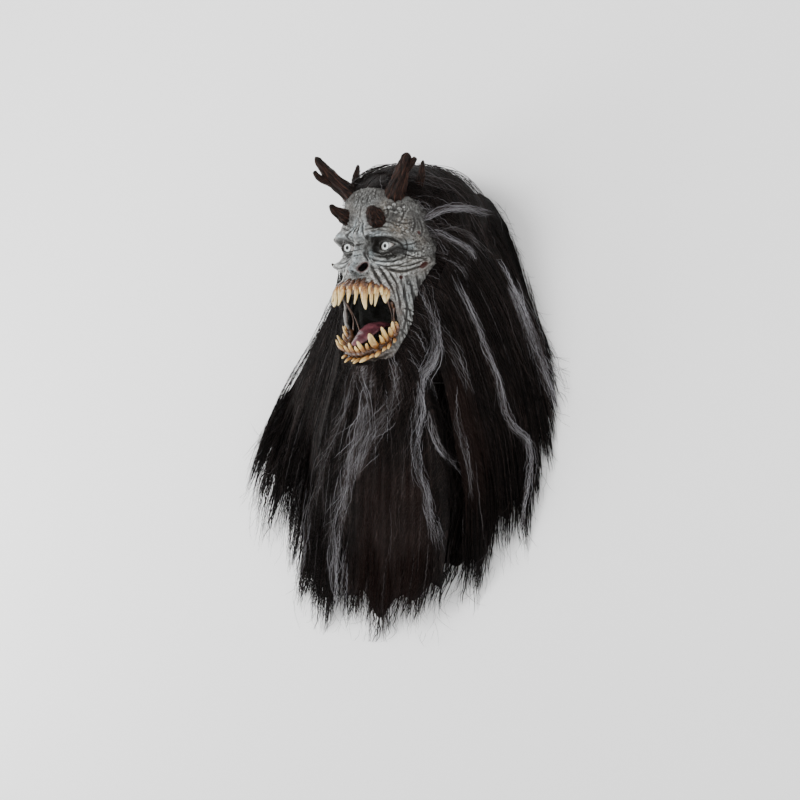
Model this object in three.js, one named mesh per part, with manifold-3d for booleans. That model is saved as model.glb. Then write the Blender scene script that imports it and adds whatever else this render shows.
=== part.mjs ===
// An over-the-head monster mask of painted latex, with horns, a gaping toothed mouth and a long mane.
// It lies on its back on a table. Its own left is +X, its crown +Y, and its face looks up along +Z.
// The origin is on the table under the middle of the head, and all sizes are in millimetres.
import * as THREE from "three";
import { mergeVertices } from "three/addons/utils/BufferGeometryUtils.js";
import Module from "manifold-3d";

const wasm = await Module();
wasm.setup();

// Driving dimensions
const axisHeight = 120; // from the table to the head's long axis
const crownY = 138; // top of the latex scalp
const domeY = 50; // the skull starts to close here
const domePower = 2.5; // above 2 makes the forehead square and full
const neckY = -165; // lower edge of the latex neck
const wall = 3.2; // latex thickness
const lidOut = 3.6; // how far the lids stand off the eye
const gap = 0.4; // clearance between pieces that touch
const eyeGap = 1.5; // clearance behind and round the eyes
const skullGap = 1.2; // clearance between the scalp and the hair
const eyeball = { x: 35.2, y: 27, z: 71, radius: 14.5, deep: 9 };

// Half width, depth in front of the axis and depth behind it, down the head
const headStations = [
  { y: 60, width: 82, front: 99, back: 93 },
  { y: 20, width: 84, front: 101, back: 94 },
  { y: -30, width: 80, front: 97, back: 86 },
  { y: -75, width: 73, front: 92, back: 74 },
  { y: -115, width: 66, front: 84, back: 66 },
  { y: -145, width: 60, front: 68, back: 62 },
  { y: -175, width: 60, front: 58, back: 62 },
];

// Swellings and hollows of the face: angle from the midline in degrees, height, half sizes
// in degrees and millimetres, and how far each stands out
const faceForms = [
  { part: "brow ridge", angle: 23, y: 44, wide: 17, tall: 8, out: 12 },
  { part: "outer brow", angle: 45, y: 37, wide: 11, tall: 9, out: 8 },
  { part: "horn boss", angle: 18, y: 69, wide: 9, tall: 11, out: 7 },
  { part: "glabella", angle: 0, y: 42, wide: 7, tall: 12, out: 5 },
  { part: "eye socket", angle: 26, y: 25, wide: 15, tall: 11, out: -19 },
  { part: "socket tail", angle: 45, y: 18, wide: 10, tall: 6, out: -8 },
  { part: "nose bridge", angle: 0, y: 17, wide: 6.5, tall: 17, out: 10 },
  { part: "nose tip", angle: 0, y: -5, wide: 7, tall: 9, out: 13 },
  { part: "nose wing", angle: 9, y: -7, wide: 5, tall: 8, out: 6 },
  { part: "cheekbone", angle: 42, y: 1, wide: 17, tall: 7, out: 8 },
  { part: "cheekbone end", angle: 62, y: 4, wide: 13, tall: 9, out: 9 },
  { part: "cheek hollow", angle: 52, y: -38, wide: 15, tall: 22, out: -10 },
  { part: "temple hollow", angle: 62, y: 66, wide: 13, tall: 20, out: -6 },
  { part: "muzzle", angle: 0, y: -38, wide: 28, tall: 18, out: 33 },
  { part: "mouth corner", angle: 44, y: -68, wide: 7, tall: 24, out: 5 },
  { part: "lower jaw", angle: 0, y: -122, wide: 42, tall: 16, out: 25 },
  { part: "jaw angle", angle: 64, y: -84, wide: 14, tall: 20, out: 6 },
];

const gumSunk = 2; // gums and teeth start this far under the skin
const upperGum = { y: -31, drop: 5, reach: 29, radius: 6 };
const lowerGum = { y: -123, drop: -32, reach: 39, radius: 6.5 };
const mouthEdge = [
  [0, -42], [15, -42], [28, -45], [35, -52], [38, -68], [40, -84],
  [36, -95], [25, -107], [13, -115], [0, -117],
];
const nostril = { angle: 8.5, y: -3, wide: 3, tall: 7, lean: 1.3, corners: 5 };
const lidRim = { inner: [-14.5, -2.5], top: [-3, 11], outer: [14, 2], bottom: [3, -11] };

// Teeth: angle from the midline, length, width, and for the lower ones how much they lean out
const upperTeeth = [
  [-28, 14, 8], [-24, 18, 9], [-19.5, 21, 9], [-15, 19, 9], [-10.5, 22, 9.5], [-6, 20, 9],
  [-1.5, 23, 9.5], [3, 21, 9], [8, 24, 11], [13.5, 36, 15], [18.5, 26, 10], [23, 20, 9], [27, 14, 8],
];
const lowerTeeth = [
  [-38, 10, 7, 0.3], [-32, 15, 9, 0.6], [-26, 16, 9, 0.9], [-19, 15, 9, 0.8], [-12, 24, 11, 1.6],
  [-4, 14, 9, 1], [4, 17, 10, 0.9], [11, 15, 9, 1.2], [19, 29, 15, 1.4], [27, 19, 11, 0.9],
  [33, 18, 10, 0.6], [38, 12, 8, 0.4],
];
const outerTeeth = [[-7, 13, 8], [1, 12, 8], [9, 15, 9], [18, 15, 9], [27, 13, 8]];

// Horns: angle and height of the root, then the path of the tip from it, with the radius at each point
const hornSets = {
  antlerLeft: {
    angle: 36, y: 103, sides: 7, steps: 5,
    path: [[-10, -18, -10, 15], [0, 0, 0, 14], [19, 26, 10, 10.5], [36, 52, 17, 5.5]],
    prong: [[20, 28, 10, 7], [35, 36, 10, 4.5], [45, 45, 11, 3.2]],
  },
  antlerRight: {
    angle: -38, y: 104, sides: 7, steps: 5,
    path: [[10, -16, -10, 14], [0, 0, 0, 12.5], [-22, 26, 19, 9], [-38, 54, 34, 4.2]],
    prong: [[-22, 20, 20, 6.5], [-31, 24, 34, 4.5], [-35, 33, 40, 2.8]],
  },
  browLeft: {
    angle: 19, y: 68, sides: 6, steps: 3,
    path: [[-3, -6, -10, 13], [0, 0, 1, 12], [5, 7, 14, 8], [7, 11, 20, 3.5]],
  },
  browRight: {
    angle: -19, y: 71, sides: 6, steps: 3,
    path: [[3, -6, -10, 11], [0, 0, 1, 9.5], [-6, 8, 14, 6], [-8, 15, 22, 2.4]],
  },
  crownLeft: {
    angle: 60, y: 115, sides: 5, steps: 3,
    path: [[-4, -8, -2, 8], [6, 8, 0, 6.5], [12, 34, 2, 2]],
  },
  crownRight: {
    angle: -48, y: 117, sides: 5, steps: 3,
    path: [[4, -8, -2, 8], [-3, 8, 0, 6.5], [-3, 32, -4, 2]],
  },
};

const tongue = {
  path: [[0, -82, 48], [0, -85, 70], [0, -99, 92], [-2, -113, 112]],
  halfWidth: [19, 21, 17, 8],
  halfThick: [5, 5, 4.5, 3],
};

// Where hair begins, as an angle from the midline at each height
const hairline = [
  [112, 0], [105, 34], [92, 56], [70, 68], [35, 73], [2, 68],
  [-40, 55], [-95, 47], [-130, 30], [-145, 20], [-175, 20],
];
const hairEdge = 2; // thickness of the hair where it begins
const hairDive = 25; // its hidden side runs this far under the skin in front of the hairline
// The hair round the skull: its top, where it starts to close, its thickness in front and behind,
// and the angles between which it grows to that thickness and turns square
const cap = {
  crownY: 152, closeY: 20, front: 18, behind: 32, feather: 24, turn: [60, 130], ridge: 2.5, locks: 12,
};

// Falls of hair, each as guide paths along its upper side, from the root to the tip, across the fall
const falls = {
  left: {
    columns: 10, rows: 6, ridge: 8, jag: 0.12,
    guides: [
      [[62, 116, 30], [96, 82, 18], [126, 18, 14], [152, -62, 12], [197, -146, 7]],
      [[96, 50, 130], [114, 5, 100], [138, -72, 60], [158, -170, 34], [166, -292, 8]],
      [[92, -10, 156], [108, -60, 130], [118, -140, 92], [126, -255, 54], [112, -400, 9]],
      [[70, -80, 172], [86, -135, 158], [84, -220, 124], [58, -345, 74], [12, -480, 14]],
    ],
  },
  right: {
    columns: 13, rows: 6, ridge: 9, jag: 0.12,
    guides: [
      [[-62, 116, 30], [-98, 82, 18], [-150, 0, 26], [-272, -130, 30], [-412, -300, 12]],
      [[-96, 50, 130], [-126, -5, 108], [-205, -100, 84], [-318, -228, 58], [-425, -385, 14]],
      [[-92, -10, 156], [-118, -62, 132], [-185, -155, 100], [-272, -280, 62], [-352, -445, 12]],
      [[-70, -80, 172], [-94, -135, 158], [-150, -225, 124], [-225, -345, 78], [-300, -475, 14]],
    ],
  },
  back: {
    columns: 10, rows: 5, ridge: 5, jag: 0.1,
    guides: [
      [[-60, 0, 34], [-85, -110, 40], [-150, -240, 36], [-230, -380, 26], [-295, -490, 7]],
      [[0, 0, 34], [0, -110, 44], [-40, -240, 38], [-125, -390, 28], [-210, -550, 7]],
      [[60, 0, 34], [85, -110, 40], [90, -240, 36], [55, -380, 26], [5, -510, 7]],
    ],
  },
  beard: {
    columns: 12, rows: 6, ridge: 9, jag: 0.12, thick: [36, 30, 30, 14],
    guides: [
      [[-52, -106, 190], [-82, -165, 176], [-150, -250, 132], [-218, -345, 84], [-288, -452, 32]],
      [[0, -139, 217], [-20, -178, 207], [-78, -265, 158], [-142, -370, 102], [-212, -490, 36]],
      [[56, -106, 188], [74, -165, 170], [72, -265, 128], [44, -370, 82], [-12, -490, 32]],
    ],
  },
};

// The space kept free for a neck: centre, half width and half height down the tunnel
const neckWay = [
  [0, -150, 112, 50, 48], [0, -195, 106, 52, 42], [-12, -240, 98, 46, 28], [-24, -275, 92, 30, 12],
];

const colours = {
  latex: { color: 0x777a78, roughness: 0.55 },
  eye: { color: 0xd6d8d2, roughness: 0.15 },
  hair: { color: 0x1b1816, roughness: 0.75 },
  beard: { color: 0x2a2623, roughness: 0.75 },
};

const radians = (angle) => THREE.MathUtils.degToRad(angle);
const lerp = THREE.MathUtils.lerp;
const smooth = (x) => THREE.MathUtils.smoothstep(x, 0, 1);

// A value at height y between stations, along a smooth curve through them
function stationValue(stations, read, y) {
  const last = stations.length - 1;
  let i = 0;
  while (i < last - 1 && y < stations[i + 1].y) i++;
  const at = (k) => stations[Math.min(last, Math.max(0, k))];
  const slope = (k) => (read(at(k + 1)) - read(at(k - 1))) / (at(k + 1).y - at(k - 1).y);
  const span = at(i + 1).y - at(i).y;
  const t = Math.min(1, Math.max(0, (y - at(i).y) / span));
  const rise = span * (t - 2 * t * t + t ** 3);
  const settle = span * (t ** 3 - t * t);
  const share = 3 * t * t - 2 * t ** 3;
  return lerp(read(at(i)), read(at(i + 1)), share) + rise * slope(i) + settle * slope(i + 1);
}

// How far the face stands out of the plain skull at an angle and height
function faceRelief(angle, y) {
  let out = 0;
  for (const form of faceForms) {
    for (const side of form.angle ? [1, -1] : [1]) {
      const across = (angle - side * form.angle) / form.wide;
      const down = (y - form.y) / form.tall;
      out += form.out * Math.exp(-across * across - down * down);
    }
  }
  return out;
}

// The lowest or highest relief in the neighbourhood, picked by Math.min or Math.max
function reliefNear(angle, y, pick) {
  const near = [];
  for (const turn of [-5, 0, 5]) {
    for (const rise of [-6, 0, 6]) near.push(faceRelief(angle + turn, y + rise));
  }
  return pick(...near);
}

// A point of the head's skin. Angle 0 is the midline of the face, and +90 the mask's left.
function headPoint(angle, y, grow = 0, relief = faceRelief(angle, y)) {
  const close = Math.max(0, (y - domeY) / (crownY + grow - domeY));
  const dome = Math.max(0, 1 - close ** domePower) ** (1 / domePower);
  const capped = Math.min(y, domeY + 10);
  const read = (key) => Math.max(0.01, stationValue(headStations, (s) => s[key], capped) * dome);
  const width = read("width");
  const depth = Math.cos(radians(angle)) >= 0 ? read("front") : read("back");
  const [across, ahead] = [Math.sin(radians(angle)), Math.cos(radians(angle))];
  const normal = new THREE.Vector2(across / width, ahead / depth).normalize();
  const out = relief * Math.min(1, dome * 1.5) + grow;
  return new THREE.Vector3(
    width * across + normal.x * out,
    y,
    axisHeight + depth * ahead + normal.y * out,
  );
}

function geometryFrom(points, triangles) {
  const geometry = new THREE.BufferGeometry();
  const flat = points.flatMap((p) => [p.x, p.y, p.z]);
  geometry.setAttribute("position", new THREE.Float32BufferAttribute(flat, 3));
  geometry.setIndex(triangles);
  return geometry;
}

// A closed skin over rings of equal size, with a fan at each end
function loft(rings) {
  const size = rings[0].length;
  const points = rings.flat();
  const triangles = [];
  for (let i = 0; i < rings.length - 1; i++) {
    for (let j = 0; j < size; j++) {
      const [a, b] = [i * size + j, i * size + ((j + 1) % size)];
      triangles.push(a, b, b + size, a, b + size, a + size);
    }
  }
  for (const end of [0, rings.length - 1]) {
    const centre = new THREE.Vector3();
    for (const p of rings[end]) centre.addScaledVector(p, 1 / size);
    const hub = points.push(centre) - 1;
    for (let j = 0; j < size; j++) {
      const [a, b] = [end * size + j, end * size + ((j + 1) % size)];
      triangles.push(...(end ? [a, b, hub] : [b, a, hub]));
    }
  }
  return geometryFrom(points, triangles);
}

// A closed slab between two grids of points, top[i][j] and bottom[i][j]
function slab(top, bottom) {
  const [rows, columns] = [top.length, top[0].length];
  const points = [...top.flat(), ...bottom.flat()];
  const under = rows * columns;
  const triangles = [];
  const quad = (a, b, c, d) => triangles.push(a, b, c, a, c, d);
  const index = (i, j) => i * columns + j;
  for (let i = 0; i < rows - 1; i++) {
    for (let j = 0; j < columns - 1; j++) {
      const corners = [index(i, j), index(i, j + 1), index(i + 1, j + 1), index(i + 1, j)];
      quad(...corners);
      quad(...corners.map((k) => k + under).reverse());
    }
    quad(index(i, 0), index(i + 1, 0), index(i + 1, 0) + under, index(i, 0) + under);
    const edge = columns - 1;
    quad(index(i + 1, edge), index(i, edge), index(i, edge) + under, index(i + 1, edge) + under);
  }
  for (let j = 0; j < columns - 1; j++) {
    quad(index(0, j + 1), index(0, j), index(0, j) + under, index(0, j + 1) + under);
    const tip = rows - 1;
    quad(index(tip, j), index(tip, j + 1), index(tip, j + 1) + under, index(tip, j) + under);
  }
  return geometryFrom(points, triangles);
}

// A solid from a closed geometry, turned to face out
function solidOf(geometry) {
  const bare = geometry.clone();
  bare.deleteAttribute("normal");
  bare.deleteAttribute("uv");
  const merged = mergeVertices(bare, 1e-4);
  const vertProperties = new Float32Array(merged.attributes.position.array);
  const triVerts = new Uint32Array(merged.index.array);
  const made = new wasm.Manifold(new wasm.Mesh({ numProp: 3, vertProperties, triVerts }));
  if (made.volume() > 0) return made;
  for (let i = 0; i < triVerts.length; i += 3) {
    [triVerts[i + 1], triVerts[i + 2]] = [triVerts[i + 2], triVerts[i + 1]];
  }
  return new wasm.Manifold(new wasm.Mesh({ numProp: 3, vertProperties, triVerts }));
}

// A round or flattened tube along points, with its half width and half thickness at each
function taperedTube(points, halfWidths, halfThicks, sides, steps) {
  const curve = new THREE.CatmullRomCurve3(points.map((p) => new THREE.Vector3(...p)));
  const frames = curve.computeFrenetFrames(steps, false);
  const sizeAt = (sizes, t) => {
    const place = t * (sizes.length - 1);
    const i = Math.min(sizes.length - 2, Math.floor(place));
    return lerp(sizes[i], sizes[i + 1], place - i);
  };
  const rings = [];
  for (let i = 0; i <= steps; i++) {
    const t = i / steps;
    const centre = curve.getPointAt(t);
    const ring = [];
    for (let j = 0; j < sides; j++) {
      const turn = (2 * Math.PI * j) / sides;
      ring.push(
        centre
          .clone()
          .addScaledVector(frames.normals[i], Math.cos(turn) * sizeAt(halfThicks, t))
          .addScaledVector(frames.binormals[i], Math.sin(turn) * sizeAt(halfWidths, t)),
      );
    }
    rings.push(ring);
  }
  return loft(rings);
}

// Heights of the rows of points, close together over the face
const spread = (from, to, count) => [...Array(count).keys()].map((i) => lerp(from, to, i / count));
const outerRows = [...spread(neckY, -134, 2), ...spread(-134, 66, 21), ...spread(66, 112, 3), 112, 124, 133];
const innerRows = [...spread(neckY, -134, 1), ...spread(-134, 66, 13), ...spread(66, 112, 2), 112, 122, 130];
const belowNeck = neckY - 12; // cutters run out past the neck's edge

// Angles round the head, close together over the face and wide apart behind
function headAngles(front, back, reach = 80) {
  const angles = [];
  for (let i = 0; i < front; i++) angles.push(lerp(-reach, reach, i / front));
  for (let i = 0; i < back; i++) angles.push(lerp(reach, 360 - reach, i / back));
  return angles;
}

// The head as one filled solid: its skin through the given rows and angles, down to lowY
function headSolid(point, angles, rows, lowY, topY = crownY) {
  const rings = [lowY, ...rows.slice(1)].map((y) => angles.map((angle) => point(angle, y)));
  rings.push(angles.map(() => new THREE.Vector3(0, topY, axisHeight)));
  return solidOf(loft(rings));
}

// A cutter that runs straight in from an outline on the skin towards the head's axis
function radialCutter(outline, outer, inner) {
  const moved = (scale) =>
    outline.map(([angle, y]) => {
      const p = headPoint(angle, y);
      return new THREE.Vector3(p.x * scale, p.y, axisHeight + (p.z - axisHeight) * scale);
    });
  return solidOf(loft([moved(inner), moved(outer)]));
}

function eyeSphere(side, grow) {
  const sphere = new THREE.SphereGeometry(eyeball.radius + grow, 10, 6);
  sphere.translate(side * eyeball.x, eyeball.y, axisHeight + eyeball.z);
  return solidOf(sphere);
}

// The almond-shaped opening between the lids
function lidCutter(side) {
  const rim = new THREE.Shape();
  rim.moveTo(...lidRim.inner);
  rim.quadraticCurveTo(...lidRim.top, ...lidRim.outer);
  rim.quadraticCurveTo(...lidRim.bottom, ...lidRim.inner);
  const depth = 4 * eyeball.radius;
  const prism = new THREE.ExtrudeGeometry(rim, { depth, bevelEnabled: false, curveSegments: 5 });
  if (side < 0) prism.rotateY(Math.PI).translate(0, 0, depth);
  prism.translate(side * eyeball.x, eyeball.y, axisHeight + eyeball.z);
  return solidOf(prism);
}

function nostrilCutter(side) {
  const ring = [...Array(nostril.corners).keys()].map((i) => {
    const turn = (2 * Math.PI * i) / nostril.corners;
    const across = nostril.angle + nostril.wide * Math.cos(turn) + nostril.lean * Math.sin(turn);
    return [side * across, nostril.y + nostril.tall * Math.sin(turn)];
  });
  return radialCutter(ring, 1.2, 0.7);
}

function gumY(gum, angle) {
  return gum.y - gum.drop * (angle / gum.reach) ** 2;
}

function gumSolid(gum) {
  const steps = 9;
  const points = [];
  for (let i = 0; i <= steps; i++) {
    const angle = lerp(-gum.reach - 2, gum.reach + 2, i / steps);
    points.push(headPoint(angle, gumY(gum, angle), -gumSunk).toArray());
  }
  const sizes = [gum.radius / 2, ...Array(steps - 1).fill(gum.radius), gum.radius / 2];
  return solidOf(taperedTube(points, sizes, sizes, 5, steps));
}

// A curved tooth from a root in the gum, leaning out from the face and up or down by the given shares
function toothSolid(angle, y, out, up, length, width) {
  const root = headPoint(angle, y, -gumSunk);
  const outward = headPoint(angle, y, gumSunk).sub(root).normalize();
  const direction = outward.multiplyScalar(out).add(new THREE.Vector3(0, up, 0)).normalize();
  const bend = new THREE.Vector3(0, 0.12 * up * length, 0);
  const middle = root.clone().addScaledVector(direction, 0.55 * length);
  const tip = root.clone().addScaledVector(direction, length).add(bend);
  const halfWidths = [width / 2, width / 2, 0];
  const halfThicks = halfWidths.map((half) => half * 0.75);
  return solidOf(taperedTube([root, middle, tip].map((p) => p.toArray()), halfWidths, halfThicks, 5, 2));
}

function teethSolids() {
  const teeth = [];
  for (const [angle, length, width] of upperTeeth) {
    teeth.push(toothSolid(angle, gumY(upperGum, angle), 0.28, -1, length, width));
  }
  for (const [angle, length, width, lean] of lowerTeeth) {
    teeth.push(toothSolid(angle, gumY(lowerGum, angle), lean, 1, length, width));
  }
  for (const [angle, length, width] of outerTeeth) {
    teeth.push(toothSolid(angle, gumY(lowerGum, angle) - 8, 1, -0.25, length, width));
  }
  return teeth;
}

function hornSolid({ angle, y, sides, steps, path, prong }, grow = 0) {
  const root = headPoint(angle, y);
  const limb = (points, count) => {
    const radii = points.map((p) => p[3] + grow);
    const centres = points.map((p) => [root.x + p[0], root.y + p[1], root.z + p[2]]);
    return solidOf(taperedTube(centres, radii, radii, sides, count));
  };
  const beam = limb(path, steps);
  return prong ? beam.add(limb(prong, 3)) : beam;
}

function hornSolids(grow = 0) {
  return Object.values(hornSets).map((horn) => hornSolid(horn, grow));
}

function tongueSolid() {
  const [steps, sides, spans] = [5, 8, tongue.path.length - 1];
  const curve = new THREE.CatmullRomCurve3(
    tongue.path.map(([x, y, z]) => new THREE.Vector3(x, y, axisHeight + z)),
  );
  const rings = [];
  for (let i = 0; i <= steps; i++) {
    const t = i / steps;
    const centre = curve.getPoint(t);
    const up = new THREE.Vector3(1, 0, 0).cross(curve.getTangent(t)).normalize();
    const k = Math.min(spans - 1, Math.floor(t * spans));
    const share = t * spans - k;
    const wide = lerp(tongue.halfWidth[k], tongue.halfWidth[k + 1], share);
    const thick = lerp(tongue.halfThick[k], tongue.halfThick[k + 1], share);
    const ring = [...Array(sides).keys()].map((j) => {
      const turn = (2 * Math.PI * j) / sides;
      const point = centre.clone().addScaledVector(up, Math.sin(turn) * thick);
      point.x += Math.cos(turn) * wide;
      return point;
    });
    rings.push(ring);
  }
  return solidOf(loft(rings));
}

// The latex shell with its horns, gums, teeth and tongue, all cast in one
function latexHead() {
  const outer = headSolid((angle, y) => headPoint(angle, y), headAngles(20, 6), outerRows, neckY);
  const lining = (angle, y) => headPoint(angle, y, -wall, reliefNear(angle, y, Math.min));
  const inside = headSolid(lining, headAngles(14, 6), innerRows, belowNeck, crownY - wall);
  const mirrored = mouthEdge.slice(1, -1).reverse().map(([angle, y]) => [-angle, y]);
  const cuts = [inside, radialCutter([...mouthEdge, ...mirrored], 1.4, 0.25)];
  const bodies = [outer];
  for (const side of [1, -1]) {
    bodies.push(eyeSphere(side, lidOut));
    cuts.push(eyeSphere(side, eyeGap), lidCutter(side), nostrilCutter(side));
  }
  const shell = wasm.Manifold.union(bodies).subtract(wasm.Manifold.union(cuts));
  const horns = wasm.Manifold.union(hornSolids()).subtract(inside);
  const trims = [gumSolid(upperGum), gumSolid(lowerGum), tongueSolid(), ...teethSolids()];
  return wasm.Manifold.union([shell, horns, ...trims]);
}

// A lens of the eyeball, flat behind
function eyeSolid() {
  const { radius, deep } = eyeball;
  const [steps, sides] = [4, 12];
  const profile = [new THREE.Vector2(0, radius - deep)];
  const start = Math.acos((radius - deep) / radius);
  for (let i = 0; i < steps; i++) {
    const turn = lerp(start, 0, i / steps);
    profile.push(new THREE.Vector2(radius * Math.sin(turn), radius * Math.cos(turn)));
  }
  profile.push(new THREE.Vector2(0, radius));
  return new THREE.LatheGeometry(profile, sides).rotateX(Math.PI / 2);
}

function hairlineAngle(y) {
  const rows = hairline.map(([height, angle]) => ({ y: height, angle }));
  return y >= rows[0].y ? 0 : stationValue(rows, (s) => s.angle, y);
}

// A point on the outside of the hair round the skull, squarer behind, where it lies pressed on the table
function capPoint(angle, y, grow) {
  const turned = Math.abs(angle > 180 ? angle - 360 : angle);
  const behind = THREE.MathUtils.smoothstep(turned, ...cap.turn);
  const power = lerp(2, 3, behind);
  const thick = lerp(cap.front, cap.behind, behind) + cap.ridge * Math.cos(radians(angle) * cap.locks);
  const close = Math.max(0, (y - cap.closeY) / (cap.crownY + grow - cap.closeY));
  const dome = Math.max(0, 1 - close ** power) ** (1 / power);
  const read = (key) => (stationValue(headStations, (s) => s[key], Math.min(y, domeY)) + thick) * dome + grow;
  const [across, ahead] = [Math.sin(radians(angle)), Math.cos(radians(angle))];
  const square = (Math.abs(across) ** power + Math.abs(ahead) ** power) ** (-1 / power);
  const depth = ahead >= 0 ? read("front") : read("back");
  const full = new THREE.Vector3(read("width") * across * square, y, axisHeight + depth * ahead * square);
  const past = turned - hairlineAngle(y);
  const standOff = Math.max(-hairDive, hairEdge + 3 * Math.min(0, past)) + grow;
  const root = headPoint(angle, Math.min(y, crownY - hairEdge), standOff);
  const share = y > crownY - hairEdge ? 1 : smooth(past / cap.feather);
  const point = root.lerp(full, share);
  point.y = y;
  point.z = Math.max(point.z, -grow);
  return point;
}

function capSolid(grow) {
  const angles = headAngles(14, 11, 90);
  const rows = [neckY, -140, -112, -84, -56, -28, 0, 30, 60, 82, 98, 110, 122, 135, 145];
  const rings = rows.map((y) => angles.map((angle) => capPoint(angle, y, grow)));
  rings.push(angles.map(() => new THREE.Vector3(0, cap.crownY + grow, axisHeight)));
  return solidOf(loft(rings));
}

// The upper side of a fall of hair as a grid of points, in rows from root to tip.
// Where grow is given, it is spread by that much on every side.
function fallGrid({ guides, columns, rows, ridge, jag }, grow) {
  const curves = guides.map((path) => new THREE.CatmullRomCurve3(path.map((p) => new THREE.Vector3(...p))));
  const grid = [];
  for (let i = 0; i <= rows; i++) {
    const line = [];
    for (let j = 0; j <= columns; j++) {
      const crest = j % 2;
      const uneven = 0.6 * Math.abs(Math.sin(j * 2.4));
      const t = (i / rows) * (1 - jag * (1 - crest + uneven));
      const across = new THREE.CatmullRomCurve3(curves.map((curve) => curve.getPoint(t)));
      const p = across.getPoint(j / columns);
      p.z += crest * ridge * Math.sin(Math.PI * t) + grow;
      line.push(p);
    }
    grid.push(line);
  }
  const push = (p, from, far) => p.addScaledVector(p.clone().sub(from).normalize(), far);
  for (const line of grid) {
    push(line[0], line[1], 2 * grow);
    push(line[columns], line[columns - 1], 2 * grow);
  }
  grid[rows].forEach((p, j) => push(p, grid[rows - 1][j], 4 * grow));
  grid[0].forEach((p, j) => push(p, grid[1][j], 2 * grow));
  return grid;
}

// A fall that lies on the table, filled down to it
function lyingFall(fall, grow = 0) {
  const top = fallGrid(fall, grow);
  const bottom = top.map((line) => line.map((p) => new THREE.Vector3(p.x, p.y, -grow)));
  return solidOf(slab(top, bottom));
}

// The beard, which hangs over the neck and has an underside of its own
function beardFall(grow = 0) {
  const { thick, rows } = falls.beard;
  const top = fallGrid(falls.beard, grow);
  const bottom = top.map((line, i) => {
    const place = (i / rows) * (thick.length - 1);
    const k = Math.min(thick.length - 2, Math.floor(place));
    const deep = lerp(thick[k], thick[k + 1], place - k);
    return line.map((p) => new THREE.Vector3(p.x, p.y, p.z - deep - 2 * grow));
  });
  return solidOf(slab(top, bottom));
}

function neckWaySolid() {
  const sides = 12;
  const ring = ([x, y, z, halfWidth, halfHeight]) =>
    [...Array(sides).keys()].map((j) => {
      const turn = (2 * Math.PI * j) / sides;
      return new THREE.Vector3(x + halfWidth * Math.cos(turn), y, z + halfHeight * Math.sin(turn));
    });
  return solidOf(loft(neckWay.map(ring)));
}

// The mane on the scalp and down the back, the fall on each side and the beard, cut clear of each other
function hairSolids() {
  const scalp = (angle, y) => headPoint(angle, y, skullGap, reliefNear(angle, y, Math.max));
  const scalpRows = [...innerRows, 134];
  const skull = headSolid(scalp, headAngles(14, 6), scalpRows, belowNeck, crownY + skullGap);
  const keepOut = wasm.Manifold.union([skull, ...hornSolids(gap), neckWaySolid()]);
  const grownSides = lyingFall(falls.left, gap).add(lyingFall(falls.right, gap));
  const grownBeard = beardFall(gap);
  const backFall = lyingFall(falls.back).subtract(grownSides);
  const mane = capSolid(0).add(backFall).subtract(keepOut).subtract(grownBeard);
  const sideCut = wasm.Manifold.union([keepOut, capSolid(gap), grownBeard]);
  return {
    mane,
    side_hair_left: lyingFall(falls.left).subtract(sideCut),
    side_hair_right: lyingFall(falls.right).subtract(sideCut),
    beard: beardFall().subtract(keepOut),
  };
}

function meshOf(name, solid, look) {
  const { vertProperties, triVerts } = solid.getMesh();
  const geometry = new THREE.BufferGeometry();
  geometry.setAttribute("position", new THREE.BufferAttribute(vertProperties, 3));
  geometry.setIndex(new THREE.BufferAttribute(triVerts, 1));
  geometry.computeVertexNormals();
  const mesh = new THREE.Mesh(geometry, new THREE.MeshStandardMaterial(look));
  mesh.name = name;
  return mesh;
}

const mask = new THREE.Group();
mask.add(meshOf("latex_head", latexHead(), colours.latex));
for (const [name, side] of [["eye_left", 1], ["eye_right", -1]]) {
  const eye = new THREE.Mesh(eyeSolid(), new THREE.MeshStandardMaterial(colours.eye));
  eye.name = name;
  eye.position.set(side * eyeball.x, eyeball.y, axisHeight + eyeball.z);
  mask.add(eye);
}
for (const [name, solid] of Object.entries(hairSolids())) {
  mask.add(meshOf(name, solid, name === "beard" ? colours.beard : colours.hair));
}

export default mask;
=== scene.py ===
import math

import bmesh
import bpy
import numpy as np
from mathutils import Matrix, Vector, noise


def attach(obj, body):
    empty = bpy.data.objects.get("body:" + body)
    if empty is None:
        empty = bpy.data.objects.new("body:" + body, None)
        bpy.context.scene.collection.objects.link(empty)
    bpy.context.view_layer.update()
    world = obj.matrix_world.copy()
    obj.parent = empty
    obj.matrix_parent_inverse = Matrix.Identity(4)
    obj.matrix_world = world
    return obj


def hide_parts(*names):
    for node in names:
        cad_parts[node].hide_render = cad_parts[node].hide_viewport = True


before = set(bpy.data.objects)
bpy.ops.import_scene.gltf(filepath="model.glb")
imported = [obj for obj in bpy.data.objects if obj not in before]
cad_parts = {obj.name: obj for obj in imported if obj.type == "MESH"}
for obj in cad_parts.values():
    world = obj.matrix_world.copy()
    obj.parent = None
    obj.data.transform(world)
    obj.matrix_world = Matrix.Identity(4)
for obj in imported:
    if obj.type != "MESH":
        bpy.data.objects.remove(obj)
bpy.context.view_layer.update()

# Sizes are in millimetres and angles in degrees until a mesh is made.
# Round the head, angle 0 is the middle of the face and +90 the mask's own left.


# camera

cameraPlan = {
    "target": (-5.4, -189.0, 124.5),
    "turn": 40.0,  # from straight above towards the mask's left
    "distance": 3600.0,
    "lens": 112.8,
}


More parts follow.
